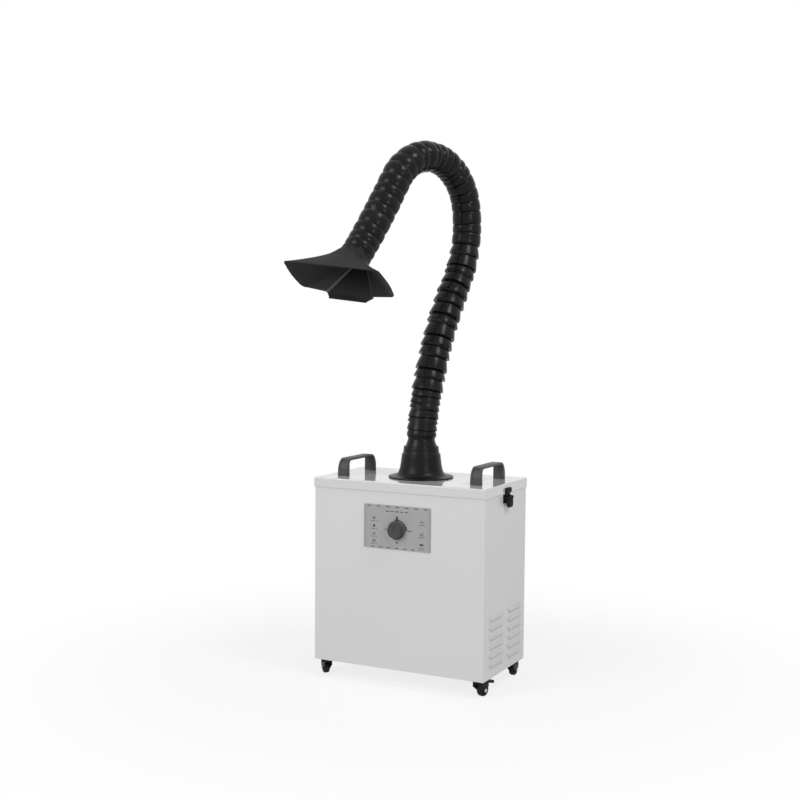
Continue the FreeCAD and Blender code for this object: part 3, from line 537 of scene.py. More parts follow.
# Pieces of the hose: node, start, end, count of cups, their shape, radius of their lips and of their
# roots
HOSE_PIECES = (
    ("hose_flex_low", 0.038, 0.132, 6, CUP, 0.0356, 0.0308),
    ("hose_section_lower", 0.132, 0.395, 10, CUP, 0.0376, 0.0289),
    ("hose_flex_mid", 0.395, 0.495, 4, CUP, 0.0360, 0.0292),
    ("hose_section_middle", 0.495, 0.655, 6, RIB, 0.0342, 0.0314),
    ("hose_flex_arch", 0.655, 0.775, 6, WAVE, 0.0347, 0.0312),
    ("hose_section_upper", 0.775, 0.955, 7, BARREL, 0.0361, 0.0298),
    ("hose_flex_tip", 0.955, 1.064, 4, BARREL, 0.0365, 0.0301),
    ("hood_collar", 1.064, 1.105, 2, BARREL, 0.0361, 0.0310),
)

# Sleeve at the end of a piece of the hose, which reaches into the bore of the next: radius, length past
# the end
SLEEVE = ((0.0283, 0.0), (0.0283, 0.002), (0.0275, 0.002), (0.0275, -0.003))

# Bodies of the pieces that don't bend
HOSE_BODIES = {
    "hose_section_lower": "hose_lower",
    "hose_section_middle": "hose_middle",
    "hose_section_upper": "hose_upper",
    "hood_collar": "hose_tip",
}
# Cuff that slips into the flange: radius, length along the hose. The ring over the flange has a crest and
# a root
CUFF = ((0.0396, -0.034), (0.0396, -0.030), (0.0364, -0.027), (0.0364, 0.001), (0.0352, 0.004),
        (0.0332, 0.009), (0.0318, 0.0135), (0.0313, 0.0165), (0.0318, 0.0195), (0.0334, 0.0225),
        (0.0345, 0.025), (0.0348, 0.027), (0.0344, 0.0295), (0.0332, 0.033), (0.0322, 0.0365),
        (0.0316, 0.0378))
CUFF_CREST = 0.0348
CUFF_ROOT = 0.0313

HOSE_FOOT = Vector(JOINTS["hose_swivel"]["pos_m"])
HOSE_SIDE = Vector(JOINTS["hose_bend_low"]["axis"])
HOSE_FORWARD = UP.cross(HOSE_SIDE) * -1


def hose_at(s):
    """Centre and direction of the hose at a length along it; it runs straight before and after."""
    spot = HOSE_FOOT + UP * min(s, 0)
    lean = 0.0
    left = max(s, 0)
    for run_length, turn in HOSE_ARCS:
        run = min(left, run_length)
        bend = math.radians(turn) * run / run_length
        chord = run * math.sin(bend / 2) / (bend / 2) if bend else run
        spot = spot + chord * (HOSE_FORWARD * math.sin(lean + bend / 2) + UP * math.cos(lean + bend / 2))
        lean += bend
        left -= run
    ahead = HOSE_FORWARD * math.sin(lean) + UP * math.cos(lean)
    return spot + ahead * left, ahead


def along_hose(bm):
    """Bend an upright mesh, whose heights are lengths along the hose, onto the hose's line."""
    for vert in bm.verts:
        spot, ahead = hose_at(vert.co.z)
        vert.co = spot + HOSE_SIDE * vert.co.x + ahead.cross(HOSE_SIDE) * vert.co.y


def cup_starts(start, end, cups):
    """Where each cup of a row begins and the last one ends; the cups aren't quite even."""
    pitch = (end - start) / cups
    between = [start + (i + CUP_SWAY * math.sin(CUP_TURN * i)) * pitch for i in range(1, cups)]
    return [start] + between + [end]


def cup_profile(starts, cup, crest, root):
    """Outside points of a row of cups as (radius, length along)."""
    return [(root + (crest - root) * high, near + part * (far - near))
            for near, far in zip(starts, starts[1:]) for part, high in cup]


def bore_profile(start, end, rings, radius):
    """Inside points from the far end back to the near one."""
    return [(radius, end + (start - end) * i / rings) for i in range(rings + 1)]


def cup_at(starts, z):
    """Which cup of a row a height lies in, counted from 1, its lip taken with it."""
    lip = LIP_REACH * (starts[-1] - starts[0]) / (len(starts) - 1)
    return bisect.bisect(starts, z + lip)


def lean_cups(bm, starts, inside, most):
    """Lean each cup a little its own way, less towards the ends of the row."""
    for vert in bm.verts:
        radius = vert.co.xy.length
        share = (vert.co.z - starts[0]) / (starts[-1] - starts[0])
        if radius > inside and 0 < share < 1:
            turn = math.atan2(vert.co.y, vert.co.x) - CUP_TURN * cup_at(starts, vert.co.z)
            vert.co.z += most * radius * math.cos(turn) * math.sin(math.pi * share)


def mark_ribs(bm, crest, root):
    """Store how high on a cup each point lies, from 0 to 1."""
    layer = bm.verts.layers.float.new("rib")
    for vert in bm.verts:
        vert[layer] = min(max((vert.co.xy.length - root) / (crest - root), 0.0), 1.0)


def mark_undersides(bm, starts, inside, outside, thick):
    """Store how thick the pale dust, which is also painted fill light, lies on the points under the lip of a
    cup.
    """
    layer = bm.verts.layers.float.new("under")
    for vert in bm.verts:
        cup = cup_at(starts, vert.co.z)
        below = 0 < cup < len(starts) and vert.co.z < starts[cup - 1] + GAP / 2
        vert[layer] = thick if below and inside < vert.co.xy.length < outside else 0.0


class EXTRACTOR_OT_finishes(bpy.types.Operator):
    """Make every finish from the colours"""
    bl_idname = "extractor.finishes"
    bl_label = "Finishes"

    def execute(self, context):
        finishes(context.scene.extractor_colours)
        return {"FINISHED"}


# Rounding of the seals, in this many steps, and of thin moulded plates
SEAL_EDGE = 0.002
SEAL_STEPS = 3
PLATE_EDGE = 0.0004


class EXTRACTOR_OT_cabinet(bpy.types.Operator):
    """Finish the painted cabinet, its base and its mains inlet"""
    bl_idname = "extractor.cabinet"
    bl_label = "Cabinet"

    def execute(self, context):
        edge = context.scene.extractor_sizes.edge
        dress("cabinet_paint", "cabinet_shell", "rear_panel")
        dress("zinc_sheet", "base_plate", "fan_deck")
        dress("screw_steel", "cabinet_screws")
        softened_piece("inlet_housing", "mains_inlet", edge, "inlet_plastic", "control_case", "cabinet")
        return {"FINISHED"}


class EXTRACTOR_OT_lid(bpy.types.Operator):
    """Finish the lift-off lid, its gasket and its fixings"""
    bl_idname = "extractor.lid"
    bl_label = "Lid"

    def execute(self, context):
        dress("lid_paint", "lid_cover")
        dress("zinc_sheet", "clamp_ring")
        dress("screw_steel", "lid_screws")
        softened_piece("lid_seal", "lid_gasket", SEAL_EDGE, "seal_foam", "seal_rubber", "cabinet", SEAL_STEPS)
        return {"FINISHED"}


# Handle seen along X: half length of the grip's flat, thickness of the grip and of a leg, the share of
# the height that a leg stands upright, its inner corner, steps of a round, and how square a leg's outer
# face is to be for its pocket
GRIP_FLAT = 0.050
GRIP_THICK = 0.0055
LEG_THICK = 0.014
LEG_UPRIGHT = 0.25
INNER_RADIUS = 0.009
ARC_STEPS = 8
FACING = 0.5
TILTED = 0.1


def handle_outline(low, high):
    """Half the outline of a handle seen along X, as (y, z), from the middle of the grip's top."""
    foot = high.y
    rise = high.z - low.z
    upright = low.z + rise * LEG_UPRIGHT
    points = [(0.0, high.z), (GRIP_FLAT, high.z)]
    for step in range(1, ARC_STEPS + 1):
        turn = math.pi / 2 * step / ARC_STEPS
        points.append((GRIP_FLAT + (foot - GRIP_FLAT) * math.sin(turn),
                       upright + (high.z - upright) * math.cos(turn)))
    inner = foot - LEG_THICK
    under = high.z - GRIP_THICK
    points += [(foot, low.z), (inner, low.z)]
    for step in range(ARC_STEPS + 1):
        turn = math.pi / 2 * step / ARC_STEPS
        points.append((inner - INNER_RADIUS + INNER_RADIUS * math.cos(turn),
                       under - INNER_RADIUS + INNER_RADIUS * math.sin(turn)))
    return points + [(0.0, under)]


def handle_mesh(node, sizes):
    """Bridge handle with rounded edges and a screw pocket in the outside of each leg."""
    low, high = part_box(node)
    half = handle_outline(low, high)
    outline = half + [(-y, z) for y, z in half[-2:0:-1]]
    bm = bmesh.new()
    face = bm.faces.new([bm.verts.new((low.x, y, z)) for y, z in outline])
    side = bmesh.ops.extrude_face_region(bm, geom=[face])["geom"]
    bmesh.ops.translate(bm, vec=(high.x - low.x, 0, 0), verts=points_of(side))
    closed(bm)
    middle = (low.x + high.x) / 2
    ends = [e for e in bm.edges if abs(e.verts[0].co.x - e.verts[1].co.x) < TOUCH
            and abs(abs(e.verts[0].co.x - middle) - (high.x - low.x) / 2) < TOUCH]
    rounded(bm, ends, sizes.handle_edge)
    for direction in (-1, 1):
        pocket = [f for f in bm.faces if f.normal.y * direction > FACING and abs(f.normal.x) < TILTED
                  and f.calc_center_median().z > low.z + (high.z - low.z) * LEG_UPRIGHT
                  and f.calc_center_median().y * direction > GRIP_FLAT]
        bmesh.ops.inset_region(bm, faces=pocket, thickness=sizes.pocket_border, depth=0)
        bmesh.ops.inset_region(bm, faces=pocket, thickness=sizes.edge, depth=-sizes.pocket)
    return bm


class EXTRACTOR_OT_handles(bpy.types.Operator):
    """Model the two carrying handles"""
    bl_idname = "extractor.handles"
    bl_label = "Handles"

    def execute(self, context):
        for side in SIDES:
            node = "handle_" + side
            bm = handle_mesh(node, context.scene.extractor_sizes)
            piece("grip_" + side, bm, "handle_plastic", "handle_plastic", "lid", node)
        return {"FINISHED"}


# Lever of a latch: its face past the pivot, and the finger ribs on it by their count, the height of the
# first, their spacing and half their size
LEVER_HUB = 0.003
LEVER_RIBS = 4
LEVER_RIB_FIRST = 0.0135
LEVER_RIB_STEP = 0.0032
LEVER_RIB = Vector((0.0008, 0.011, 0.0006))


class EXTRACTOR_OT_latches(bpy.types.Operator):
    """Model the toggle latches with rounded edges and finger ribs"""
    bl_idname = "extractor.latches"
    bl_label = "Latches"

    def execute(self, context):
        look = ("latch_nylon", "latch_nylon")
        softened_piece("latch_plates", "latch_bases", PLATE_EDGE, *look, "cabinet")
        dress("latch_nylon", "latch_pins")
        for side, sign in SIDES.items():
            softened_piece("latch_keeper_" + side, "latch_hook_" + side, PLATE_EDGE, *look, "lid")
            node = "latch_lever_" + side
            bm = softened(node, context.scene.extractor_sizes.edge)
            face = sign * (abs(JOINTS["latch_flip_" + side]["pos_m"][0]) + LEVER_HUB)
            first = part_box(node)[0].z + LEVER_RIB_FIRST
            for row in range(LEVER_RIBS):
                middle = Vector((face, 0, first + row * LEVER_RIB_STEP))
                block(bm, middle - LEVER_RIB, middle + LEVER_RIB)
            piece("latch_toggle_" + side, bm, *look, node, node)
        return {"FINISHED"}


# Knob: its skirt and grip as inset from the rim and height, and its crown as inset and depth under the
# top
KNOB_SKIRT = ((0.0006, 0.0), (0.0, 0.0006), (0.0, 0.0019), (0.0006, 0.0025), (0.0022, 0.0031),
              (0.0030, 0.0045))
KNOB_CROWN = ((0.0036, 0.0020), (0.0042, 0.0008), (0.0056, 0.0001), (0.0068, 0.0006))

# Flutes of the knob: depth, where they begin, how far in they reach, steps round each
FLUTE = 0.0007
FLUTE_FOOT = 0.0035
FLUTE_REACH = 0.005
FLUTE_STEPS = 6

# Pointer let into the knob, as corners from the middle of its top
POINTER = (Vector((-0.0008, 0.0001, 0.005)), Vector((0.0008, 0.0012, 0.0145)))


def knob_mesh(low, high, flutes):
    """Fluted knob with a skirt, standing upright."""
    radius = (high.x - low.x) / 2
    deep = high.y - low.y
    profile = [(0, 0)] + [(radius - inset, z) for inset, z in KNOB_SKIRT]
    profile += [(radius - inset, deep - under) for inset, under in KNOB_CROWN]
    bm = spun(profile + [(0, profile[-1][1])], flutes * FLUTE_STEPS, False)
    for vert in bm.verts:
        if vert.co.z > FLUTE_FOOT and vert.co.xy.length > radius - FLUTE_REACH:
            turn = math.atan2(vert.co.y, vert.co.x)
            cut = FLUTE * (0.5 + 0.5 * math.cos(flutes * turn))
            vert.co.xy *= 1 - cut / vert.co.xy.length
    return bm


# Marks printed on the control panel, from its middle: rows of like bars, by their count, the first one's
# x, z, width and height and what each next one adds to them, and a disc by its x, z and radius
LEFT_RULES = (0.0125, -0.0055, -0.0235, -0.0395)
BARS = (
    (7, (-0.071, 0.0465, 0.0090, 0.0018), (0.0237, 0, 0, 0)),
    (6, (-0.062, -0.0465, 0.0080, 0.0017), (0.0205, 0, 0, 0)),
    *((2, (-0.061, z, 0.010, 0.0010), (0.009, 0, -0.006, 0)) for z in LEFT_RULES),
    (3, (-0.058, -0.0192, 0.0065, 0.0009), (0, 0.0022, 0, 0)),
    (4, (-0.061, -0.033, 0.0008, 0.0055), (0.002, 0, 0, 0)),
    (3, (0.059, 0.0175, 0.0011, 0.0030), (0.003, 0, 0, 0.0014)),
    (3, (0.059, -0.0105, 0.0011, 0.0044), (0.003, 0, 0, 0.0014)),
    (2, (0.062, 0.011, 0.016, 0.0009), (0, -0.028, 0, 0)),
    (1, (0.062, -0.0335, 0.009, 0.0042), (0, 0, 0, 0)),
    (2, (0.062, -0.0405, 0.016, 0.0007), (0, -0.004, -0.003, 0)),
    (3, (-0.024, 0.0365, 0.0095, 0.0020), (0.024, 0, -0.0012, 0)),
    (2, (-0.012, 0.0365, 0.0089, 0.0016), (0.024, 0, -0.0012, 0)),
)
DISC = (-0.058, 0.001, 0.0030)

# Fan sign: its middle, inner and outer radius, angle of a blade and of the step to the next in degrees
FAN = (-0.058, 0.019)
FAN_RADII = (0.0008, 0.0036)
FAN_BLADE = 70
FAN_STEP = 120

# Marks round the knob, from its middle: a line and a wedge, dots by their x, z and radius, and a scale
# that grows wider mark by mark, with angles in degrees clockwise from the top
DIAL_BARS = (
    (1, (0.034, 0, 0.009, 0.0013), (0, 0, 0, 0)),
    (4, (0, 0.0215, 0.0125, 0.0014), (0, 0.0014, -0.0028, 0)),
)
DIAL_DOTS = ((-0.0285, 0, 0.0018), (0.0285, 0, 0.0016), (0, -0.0285, 0.0022), (0, 0.0285, 0.0028))
SCALE_INNER = 0.0215
SCALE_OUTER = 0.0236
SCALE_GROWTH = 0.0004
SCALE_STEPS = 6
SCALE_FIRST = 8
SCALE_STEP = 14
SCALE_MARK = 13.2

# Bands at the panel's ends: from the end to the middle of a band, width, and how much shorter than the
# panel
BAND_INSET = 0.0035
BAND_WIDTH = 0.005
BAND_SHORT = 0.005


class Print:
    """Flat marks printed on the front of the control panel round a centre."""

    def __init__(self, face, centre, thick):
        self.bm = bmesh.new()
        self.face = face
        self.centre = centre
        self.thick = thick

    def bar(self, x, z, width, height):
        x += self.centre.x
        z += self.centre.z
        block(self.bm, (x - width / 2, self.face - self.thick, z - height / 2),
              (x + width / 2, self.face, z + height / 2))

    def bars(self, rows):
        for count, first, added in rows:
            for i in range(count):
                self.bar(*(start + i * more for start, more in zip(first, added)))

    def disc(self, x, z, radius, sides=24):
        made = bmesh.ops.create_cone(self.bm, cap_ends=True, segments=sides, radius1=radius, radius2=radius,
                                     depth=self.thick)["verts"]
        place = Matrix.Translation((self.centre.x + x, self.face - self.thick / 2, self.centre.z + z))
        bmesh.ops.transform(self.bm, matrix=place @ Matrix.Rotation(math.pi / 2, 4, "X"), verts=made)

    def arc(self, x, z, inner, outer, start, turn, steps=8):
        """A band of a ring from an angle on, in degrees clockwise from straight up."""
        begin = math.radians(90 - start)
        centre = Vector((self.centre.x + x, 0, self.centre.z + z))
        far = self.face - self.thick
        out = Vector((math.cos(begin), 0, math.sin(begin)))
        corners = ((inner, self.face), (outer, self.face), (outer, far), (inner, far))
        face = self.bm.faces.new([self.bm.verts.new(centre + out * r - FRONT * y) for r, y in corners])
        bmesh.ops.spin(self.bm, geom=[face], cent=centre, axis=(0, 1, 0), angle=math.radians(turn),
                       steps=steps)


def panel_marks(marks, knob):
    """Generic signs: dashed rules, small signs with rules under them, a lamp, a speed scale and its wedge."""
    marks.bars(BARS)
    marks.disc(*DISC)
    for start in range(0, 360, FAN_STEP):
        marks.arc(*FAN, *FAN_RADII, start, FAN_BLADE)
    marks.centre = knob
    marks.bars(DIAL_BARS)
    for dot in DIAL_DOTS:
        marks.disc(*dot)
    for step in range(SCALE_STEPS):
        outer = SCALE_OUTER + SCALE_GROWTH * step
        marks.arc(0, 0, SCALE_INNER, outer, SCALE_FIRST + SCALE_STEP * step, SCALE_MARK)


class EXTRACTOR_OT_controls(bpy.types.Operator):
    """Model the control panel's print and the speed knob"""
    bl_idname = "extractor.controls"
    bl_label = "Controls"

    def execute(self, context):
        sizes = context.scene.extractor_sizes
        low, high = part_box("control_panel")
        knob_low, knob_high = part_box("speed_knob")
        centre = (low + high) / 2
        foot = Vector((0, knob_high.y, (knob_low.z + knob_high.z) / 2))
        dress("overlay_film", "control_panel")
        marks = Print(low.y, centre, sizes.ink)
        panel_marks(marks, Vector((centre.x, 0, foot.z)))
        piece("panel_print", closed(marks.bm), "overlay_ink", "panel_overlay", "cabinet")
        bands = Print(low.y, centre, sizes.ink / 2)
        for sign in SIDES.values():
            bands.bar(sign * ((high.x - low.x) / 2 - BAND_INSET), 0, BAND_WIDTH, high.z - low.z - BAND_SHORT)
        piece("panel_bands", closed(bands.bm), "overlay_band", "panel_overlay", "cabinet")
        bm = laid(knob_mesh(knob_low, knob_high, sizes.flutes), foot, FRONT)
        piece("knob_cap", bm, "knob_plastic", "knob_plastic", "knob", "speed_knob")
        top = Vector((0, knob_low.y, foot.z))
        bm = bmesh.new()
        block(bm, *(top + corner for corner in POINTER))
        piece("knob_pointer", bm, "knob_ring", "knob_plastic", "knob")
        dress("screw_steel", "knob_shaft")
        dress("inlet_plastic", "speed_control")
        return {"FINISHED"}


# Flange from its outer rim up to the lip of its neck: radius, height over the lid
FLANGE = ((0.0755, 0.0), (0.0755, 0.0022), (0.0749, 0.0032), (0.0735, 0.0038), (0.0640, 0.0044),
          (0.0605, 0.0052), (0.0570, 0.0072), (0.0542, 0.0102), (0.0520, 0.0140), (0.0502, 0.0190),
          (0.0488, 0.0250), (0.0476, 0.0320), (0.0466, 0.0400), (0.0456, 0.0480), (0.0449, 0.0540),
          (0.0444, 0.0556), (0.0428, 0.0562), (0.0421, 0.0570), (0.0412, 0.0640), (0.0405, 0.0715),
          (0.0401, 0.0728), (0.0392, 0.0730), (0.0367, 0.0730), (0.0367, 0.0470), (0.0408, 0.0450),
          (0.0430, 0.0340), (0.0450, 0.0))
FLANGE_STEPS = 96

# End of the collar from its last cup: radius, length past that cup
COLLAR_END = ((0.0352, 0.0), (0.0357, 0.0006), (0.0357, 0.0046), (0.0354, 0.0050), (0.0315, 0.0050),
              (0.0315, 0.0150))

# Rings inside the cuff, and the angle past which an edge of the cups is sharp
CUFF_RINGS = 6
CUP_SHARP = math.radians(50)


class EXTRACTOR_OT_hose(bpy.types.Operator):
    """Model the flange and the ribbed hose, laid along the bends of the hose's line"""
    bl_idname = "extractor.hose"
    bl_label = "Hose"

    def execute(self, context):
        sizes = context.scene.extractor_sizes
        bore = sizes.hose_bore
        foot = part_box("hose_flange")[0].z
        bm = spun([(r, foot + z) for r, z in FLANGE], FLANGE_STEPS)
        piece("flange_trumpet", bm, "flange_skin", "flange_plastic", "lid", "hose_flange")
        bm = spun(list(CUFF) + bore_profile(CUFF[0][1], CUFF[-1][1], CUFF_RINGS, bore), sizes.hose_steps)
        mark_ribs(bm, CUFF_CREST, CUFF_ROOT)
        along_hose(bm)
        piece("cups_cuff", bm, "hose_skin", "hose_plastic", "hose_base", "hose_cuff")
        for node, start, end, cups, cup, crest, root in HOSE_PIECES:
            starts = cup_starts(start + GAP, end - GAP, cups)
            outside = cup_profile(starts, cup, crest, root)
            if node == "hood_collar":
                outside += [(radius, end + past) for radius, past in COLLAR_END]
            else:
                outside += [(root, starts[-1])] + [(radius, starts[-1] + past) for radius, past in SLEEVE]
            bm = spun(outside + bore_profile(starts[0], outside[-1][1], cups, bore), sizes.hose_steps)
            mark_ribs(bm, crest, root)
            if cup in UNDERSIDE:
                reach, thick = UNDERSIDE[cup]
                mark_undersides(bm, starts, bore + GAP, root + (crest - root) * reach, thick)
            lean_cups(bm, starts, bore + GAP, sizes.cup_lean)
            along_hose(bm)
            made = piece(node.replace("hose_", "cups_"), bm, "hose_skin", "hose_plastic",
                         HOSE_BODIES.get(node), node, CUP_SHARP)
            if node not in HOSE_BODIES:
                hose_at(start)[0]
                hose_at(end)[0]
                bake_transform(made)
        return {"FINISHED"}


# Hood: its turn on the hose, its neck and where the flare starts, the tube inside the neck, its depth,
# its mouth, the panels between its creases, the bow of its ends and its corners
HOOD_SPIN = math.radians(-8.2)
NECK_RADIUS = 0.0357
NECK = (0.0006, 0.004)
NECK_TUBE = ((0.0318, 0.0003), (0.0332, 0.0003), (0.0338, 0.0009), (0.0338, 0.0110), (0.0318, 0.0110))
HOOD_DEPTH = 0.073
MOUTH_LONG = 0.1375
MOUTH_ROOF = 0.048
MOUTH_FLOOR = 0.0515
MOUTH_RISE = 0.012
PANEL_NECK = 0.0167
PANEL_MOUTH = 0.0667
BOW = 0.004
ROOF_CORNER = 0.007
FLOOR_CORNER = 0.018
CORNER_STEPS = 8

# Degrees from the top of the neck where the corners start and how far they go, and between them the bowed
# end: share of the bow, height, degrees
ROOF_TURN = 42
FLOOR_TURN = 114
CORNER_TURN = 24
HOOD_END = ((0.7, 0.022, 78), (1.0, 0.006, 90), (0.7, -0.010, 102))

# How the ends and the roof flare, rings of the funnel, the tongue with its lip, and the degrees that a
# ridge takes up at the neck
END_FLARE = 1.6
ROOF_FLARE = 1.5
HOOD_RINGS = 12
TONGUE = 0.014
TONGUE_END = 0.0535
TONGUE_LIP = 0.004
RIDGE = 8
HOOD_BASE = Vector(JOINTS["hood_swivel"]["pos_m"])
HOOD_OUT = Vector(JOINTS["hood_swivel"]["axis"])
_roof = HOOD_OUT.cross(HOSE_SIDE)
HOOD_ACROSS = HOSE_SIDE * math.cos(HOOD_SPIN) + _roof * math.sin(HOOD_SPIN)
HOOD_ROOF = _roof * math.cos(HOOD_SPIN) - HOSE_SIDE * math.sin(HOOD_SPIN)


def hood_spot(across, roof, out):
    return HOOD_BASE + HOOD_ACROSS * across + HOOD_ROOF * roof + HOOD_OUT * out


def hood_corner(radius, up, start, neck):
    """A quarter round of the mouth's outline, with where on the neck each of its points starts."""
    points = []
    for step in range(CORNER_STEPS + 1):
        turn = math.radians(start + 90 * step / CORNER_STEPS)
        points.append((MOUTH_LONG - radius + radius * math.sin(turn), up + radius * math.cos(turn),
                       neck + CORNER_TURN * step / CORNER_STEPS))
    return points


def hood_half(channel):
    """Half the mouth from the middle of its roof round an end to the middle of its floor: across, up, and
    degrees from the top of the neck."""
    crease = math.degrees(math.asin(PANEL_NECK / NECK_RADIUS))
    return [
        (0.0, MOUTH_ROOF, 0), (PANEL_MOUTH, MOUTH_ROOF, crease),
        *hood_corner(ROOF_CORNER, MOUTH_ROOF - ROOF_CORNER, 0, ROOF_TURN),
        *((MOUTH_LONG + share * BOW, up, degrees) for share, up, degrees in HOOD_END),
        *hood_corner(FLOOR_CORNER, MOUTH_RISE - MOUTH_FLOOR + FLOOR_CORNER, 90, FLOOR_TURN),
        (PANEL_MOUTH + channel / 2, channel - MOUTH_FLOOR, 180 - crease - RIDGE),
        (PANEL_MOUTH, -MOUTH_FLOOR, 180 - crease), (0.0, -MOUTH_FLOOR, 180),
    ]


def hood_ring(share, out, half):
    """Points of the funnel at a share of its flare, from the middle of the roof to the right and round."""
    ring = []
    for across, up, degrees in half:
        turn = math.radians(degrees)
        neck_across = NECK_RADIUS * math.sin(turn)
        neck_up = NECK_RADIUS * math.cos(turn)
        end = min(max((across - PANEL_MOUTH) / (MOUTH_LONG - PANEL_MOUTH), 0.0), 1.0)
        flare = share ** (1 + (END_FLARE - 1) * end)
        rise = share ** ROOF_FLARE if up > 0 else share
        ring.append((neck_across + (across - neck_across) * flare, neck_up + (up - neck_up) * rise))
    ring += [(-across, up) for across, up in ring[-2:0:-1]]
    return [hood_spot(across, up, out) for across, up in ring]


def drawn_out(bm, row, whole):
    """Draw a row of points out of itself and give the new row, in the same order."""
    ends = row[1:] + row[:1] if whole else row[1:]
    drawn = bmesh.ops.extrude_edge_only(bm, edges=[bm.edges.get(pair) for pair in zip(row, ends)])["geom"]
    fresh = set(points_of(drawn))
    return [next(e.other_vert(v) for e in v.link_edges if e.other_vert(v) in fresh) for v in row]


def hood_mesh(sizes):
    """The funnel as one skin, drawn out ring by ring, with the tongue drawn out of its lower rim."""
    half = hood_half(sizes.channel)
    start, flare = NECK
    first = hood_ring(0.0, start, half)
    middle = len(half) - 1
    bm = bmesh.new()
    ring = bmesh.ops.create_circle(bm, segments=len(first), radius=1)["verts"]
    for vert, spot in zip(ring, first):
        vert.co = spot
    for step in range(HOOD_RINGS + 1):
        ring = drawn_out(bm, ring, True)
        share = step / HOOD_RINGS
        for vert, spot in zip(ring, hood_ring(share, flare + (HOOD_DEPTH - flare) * share, half)):
            vert.co = spot
        # the ridge faces beside the channel take the second material, the painted highlight
        for top, foot in ((middle - 2, middle - 1), (middle + 1, middle + 2)):
            bm.edges.get((ring[top], ring[foot])).link_faces[0].material_index = 1
    tongue = ring[middle - 1:middle + 2]
    for reach, wide in ((TONGUE - TONGUE_LIP, TONGUE_END + TONGUE_LIP / 2), (TONGUE, TONGUE_END)):
        tongue = drawn_out(bm, tongue, False)
        for vert, side in zip(tongue, (1, 0, -1)):
            vert.co = hood_spot(side * wide, -MOUTH_FLOOR, HOOD_DEPTH + reach)
    bmesh.ops.recalc_face_normals(bm, faces=bm.faces)
    middle_spot = hood_spot(0, 0, HOOD_DEPTH / 2)
    if sum(f.normal.dot(f.calc_center_median() - middle_spot) for f in bm.faces) < 0:
        bmesh.ops.reverse_faces(bm, faces=bm.faces)
    return bm


# Angles past which the hood's edges are sharp and its creases are rounded
HOOD_SHARP = math.radians(14)
HOOD_CREASE = math.radians(18)


def wall(made, thickness, edge):
    """Give a skin its thickness inwards and round its creases."""
    solid = made.modifiers.new("Wall", "SOLIDIFY")
    solid.thickness = thickness
    solid.offset = -1
    solid.use_even_offset = True
    bevel = made.modifiers.new("Edge", "BEVEL")
    bevel.width = edge
    bevel.segments = 3
    bevel.limit_method = "ANGLE"
    bevel.angle_limit = HOOD_CREASE


class EXTRACTOR_OT_hood(bpy.types.Operator):
    """Model the faceted suction hood and its neck"""
    bl_idname = "extractor.hood"
    bl_label = "Hood"

    def execute(self, context):
        sizes = context.scene.extractor_sizes
        look = ("hood_skin", "hood_plastic", "hood")
        funnel = piece("hood_funnel", hood_mesh(sizes), *look, "hood", HOOD_SHARP)
        # second material: the painted highlight on the ridges
        funnel.data.materials.append(finish("hood_ridge"))
        wall(funnel, sizes.hood_wall, sizes.hood_edge)
        piece("hood_neck", laid(spun(NECK_TUBE, sizes.hose_steps), HOOD_BASE, HOOD_OUT), *look)
        return {"FINISHED"}


# Caster wheel across its axle, from the bore round the tread: radius, place along the axle
WHEEL = ((0.00256, -0.0055), (0.0046, -0.0055), (0.0050, -0.0051), (0.0080, -0.0051), (0.0085, -0.0058),
         (0.0095, -0.0065), (0.0112, -0.0065), (0.0127, -0.0060), (0.0136, -0.0048), (0.0140, -0.0034))
WHEEL_STEPS = 48


class EXTRACTOR_OT_casters(bpy.types.Operator):
    """Model the swivel casters with their brake pedals"""
    bl_idname = "extractor.casters"
    bl_label = "Casters"

    def execute(self, context):
        edge = context.scene.extractor_sizes.edge
        look = ("caster_nylon", "caster_nylon")
        softened_piece("caster_tops", "caster_plates", PLATE_EDGE, *look, "cabinet")
        for name in CASTERS:
            softened_piece("fork_" + name, "caster_fork_" + name, edge, *look, "fork_" + name)
            dress("axle_steel", "caster_axle_" + name)
            joint = JOINTS["wheel_roll_" + name]
            bm = spun(list(WHEEL) + [(r, -along) for r, along in WHEEL[::-1]], WHEEL_STEPS)
            laid(bm, joint["pos_m"], joint["axis"])
            wheel = "wheel_" + name
            piece(wheel, bm, "tread_rubber", "caster_tread", wheel, "caster_" + wheel)
            if "brake_press_" + name in JOINTS:
                softened_piece("pedal_" + name, "brake_pedal_" + name, edge, *look, "pedal_" + name)
        return {"FINISHED"}


# Filters: folds of the pleated paper, the room over and under them and its thickness, and cuts and edge steps
# of the pads
PLEATS = 32
PLEAT_ROOM = 0.0012
PLEAT_THICK = 0.0004
PAD_CUTS = 18
PAD_STEPS = 4


def pad_mesh(node, radius, crown):
    """A pad the size of its frame node with rounded edges and a crowned top."""
    low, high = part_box(node)
    bm = bmesh.new()
    block(bm, low, high)
    rounded(bm, bm.edges[:], radius, PAD_STEPS)
    long = [e for e in bm.edges if e.calc_length() > (high.y - low.y) / 2]
    bmesh.ops.subdivide_edges(bm, edges=long, cuts=PAD_CUTS, use_grid_fill=True)
    middle = (low + high) / 2
    half = (high - low) / 2
    for vert in bm.verts:
        if vert.co.z > middle.z:
            across = 1 - ((vert.co.x - middle.x) / half.x) ** 2
            deep = 1 - ((vert.co.y - middle.y) / half.y) ** 2
            vert.co.z += crown * across * deep
    return bm


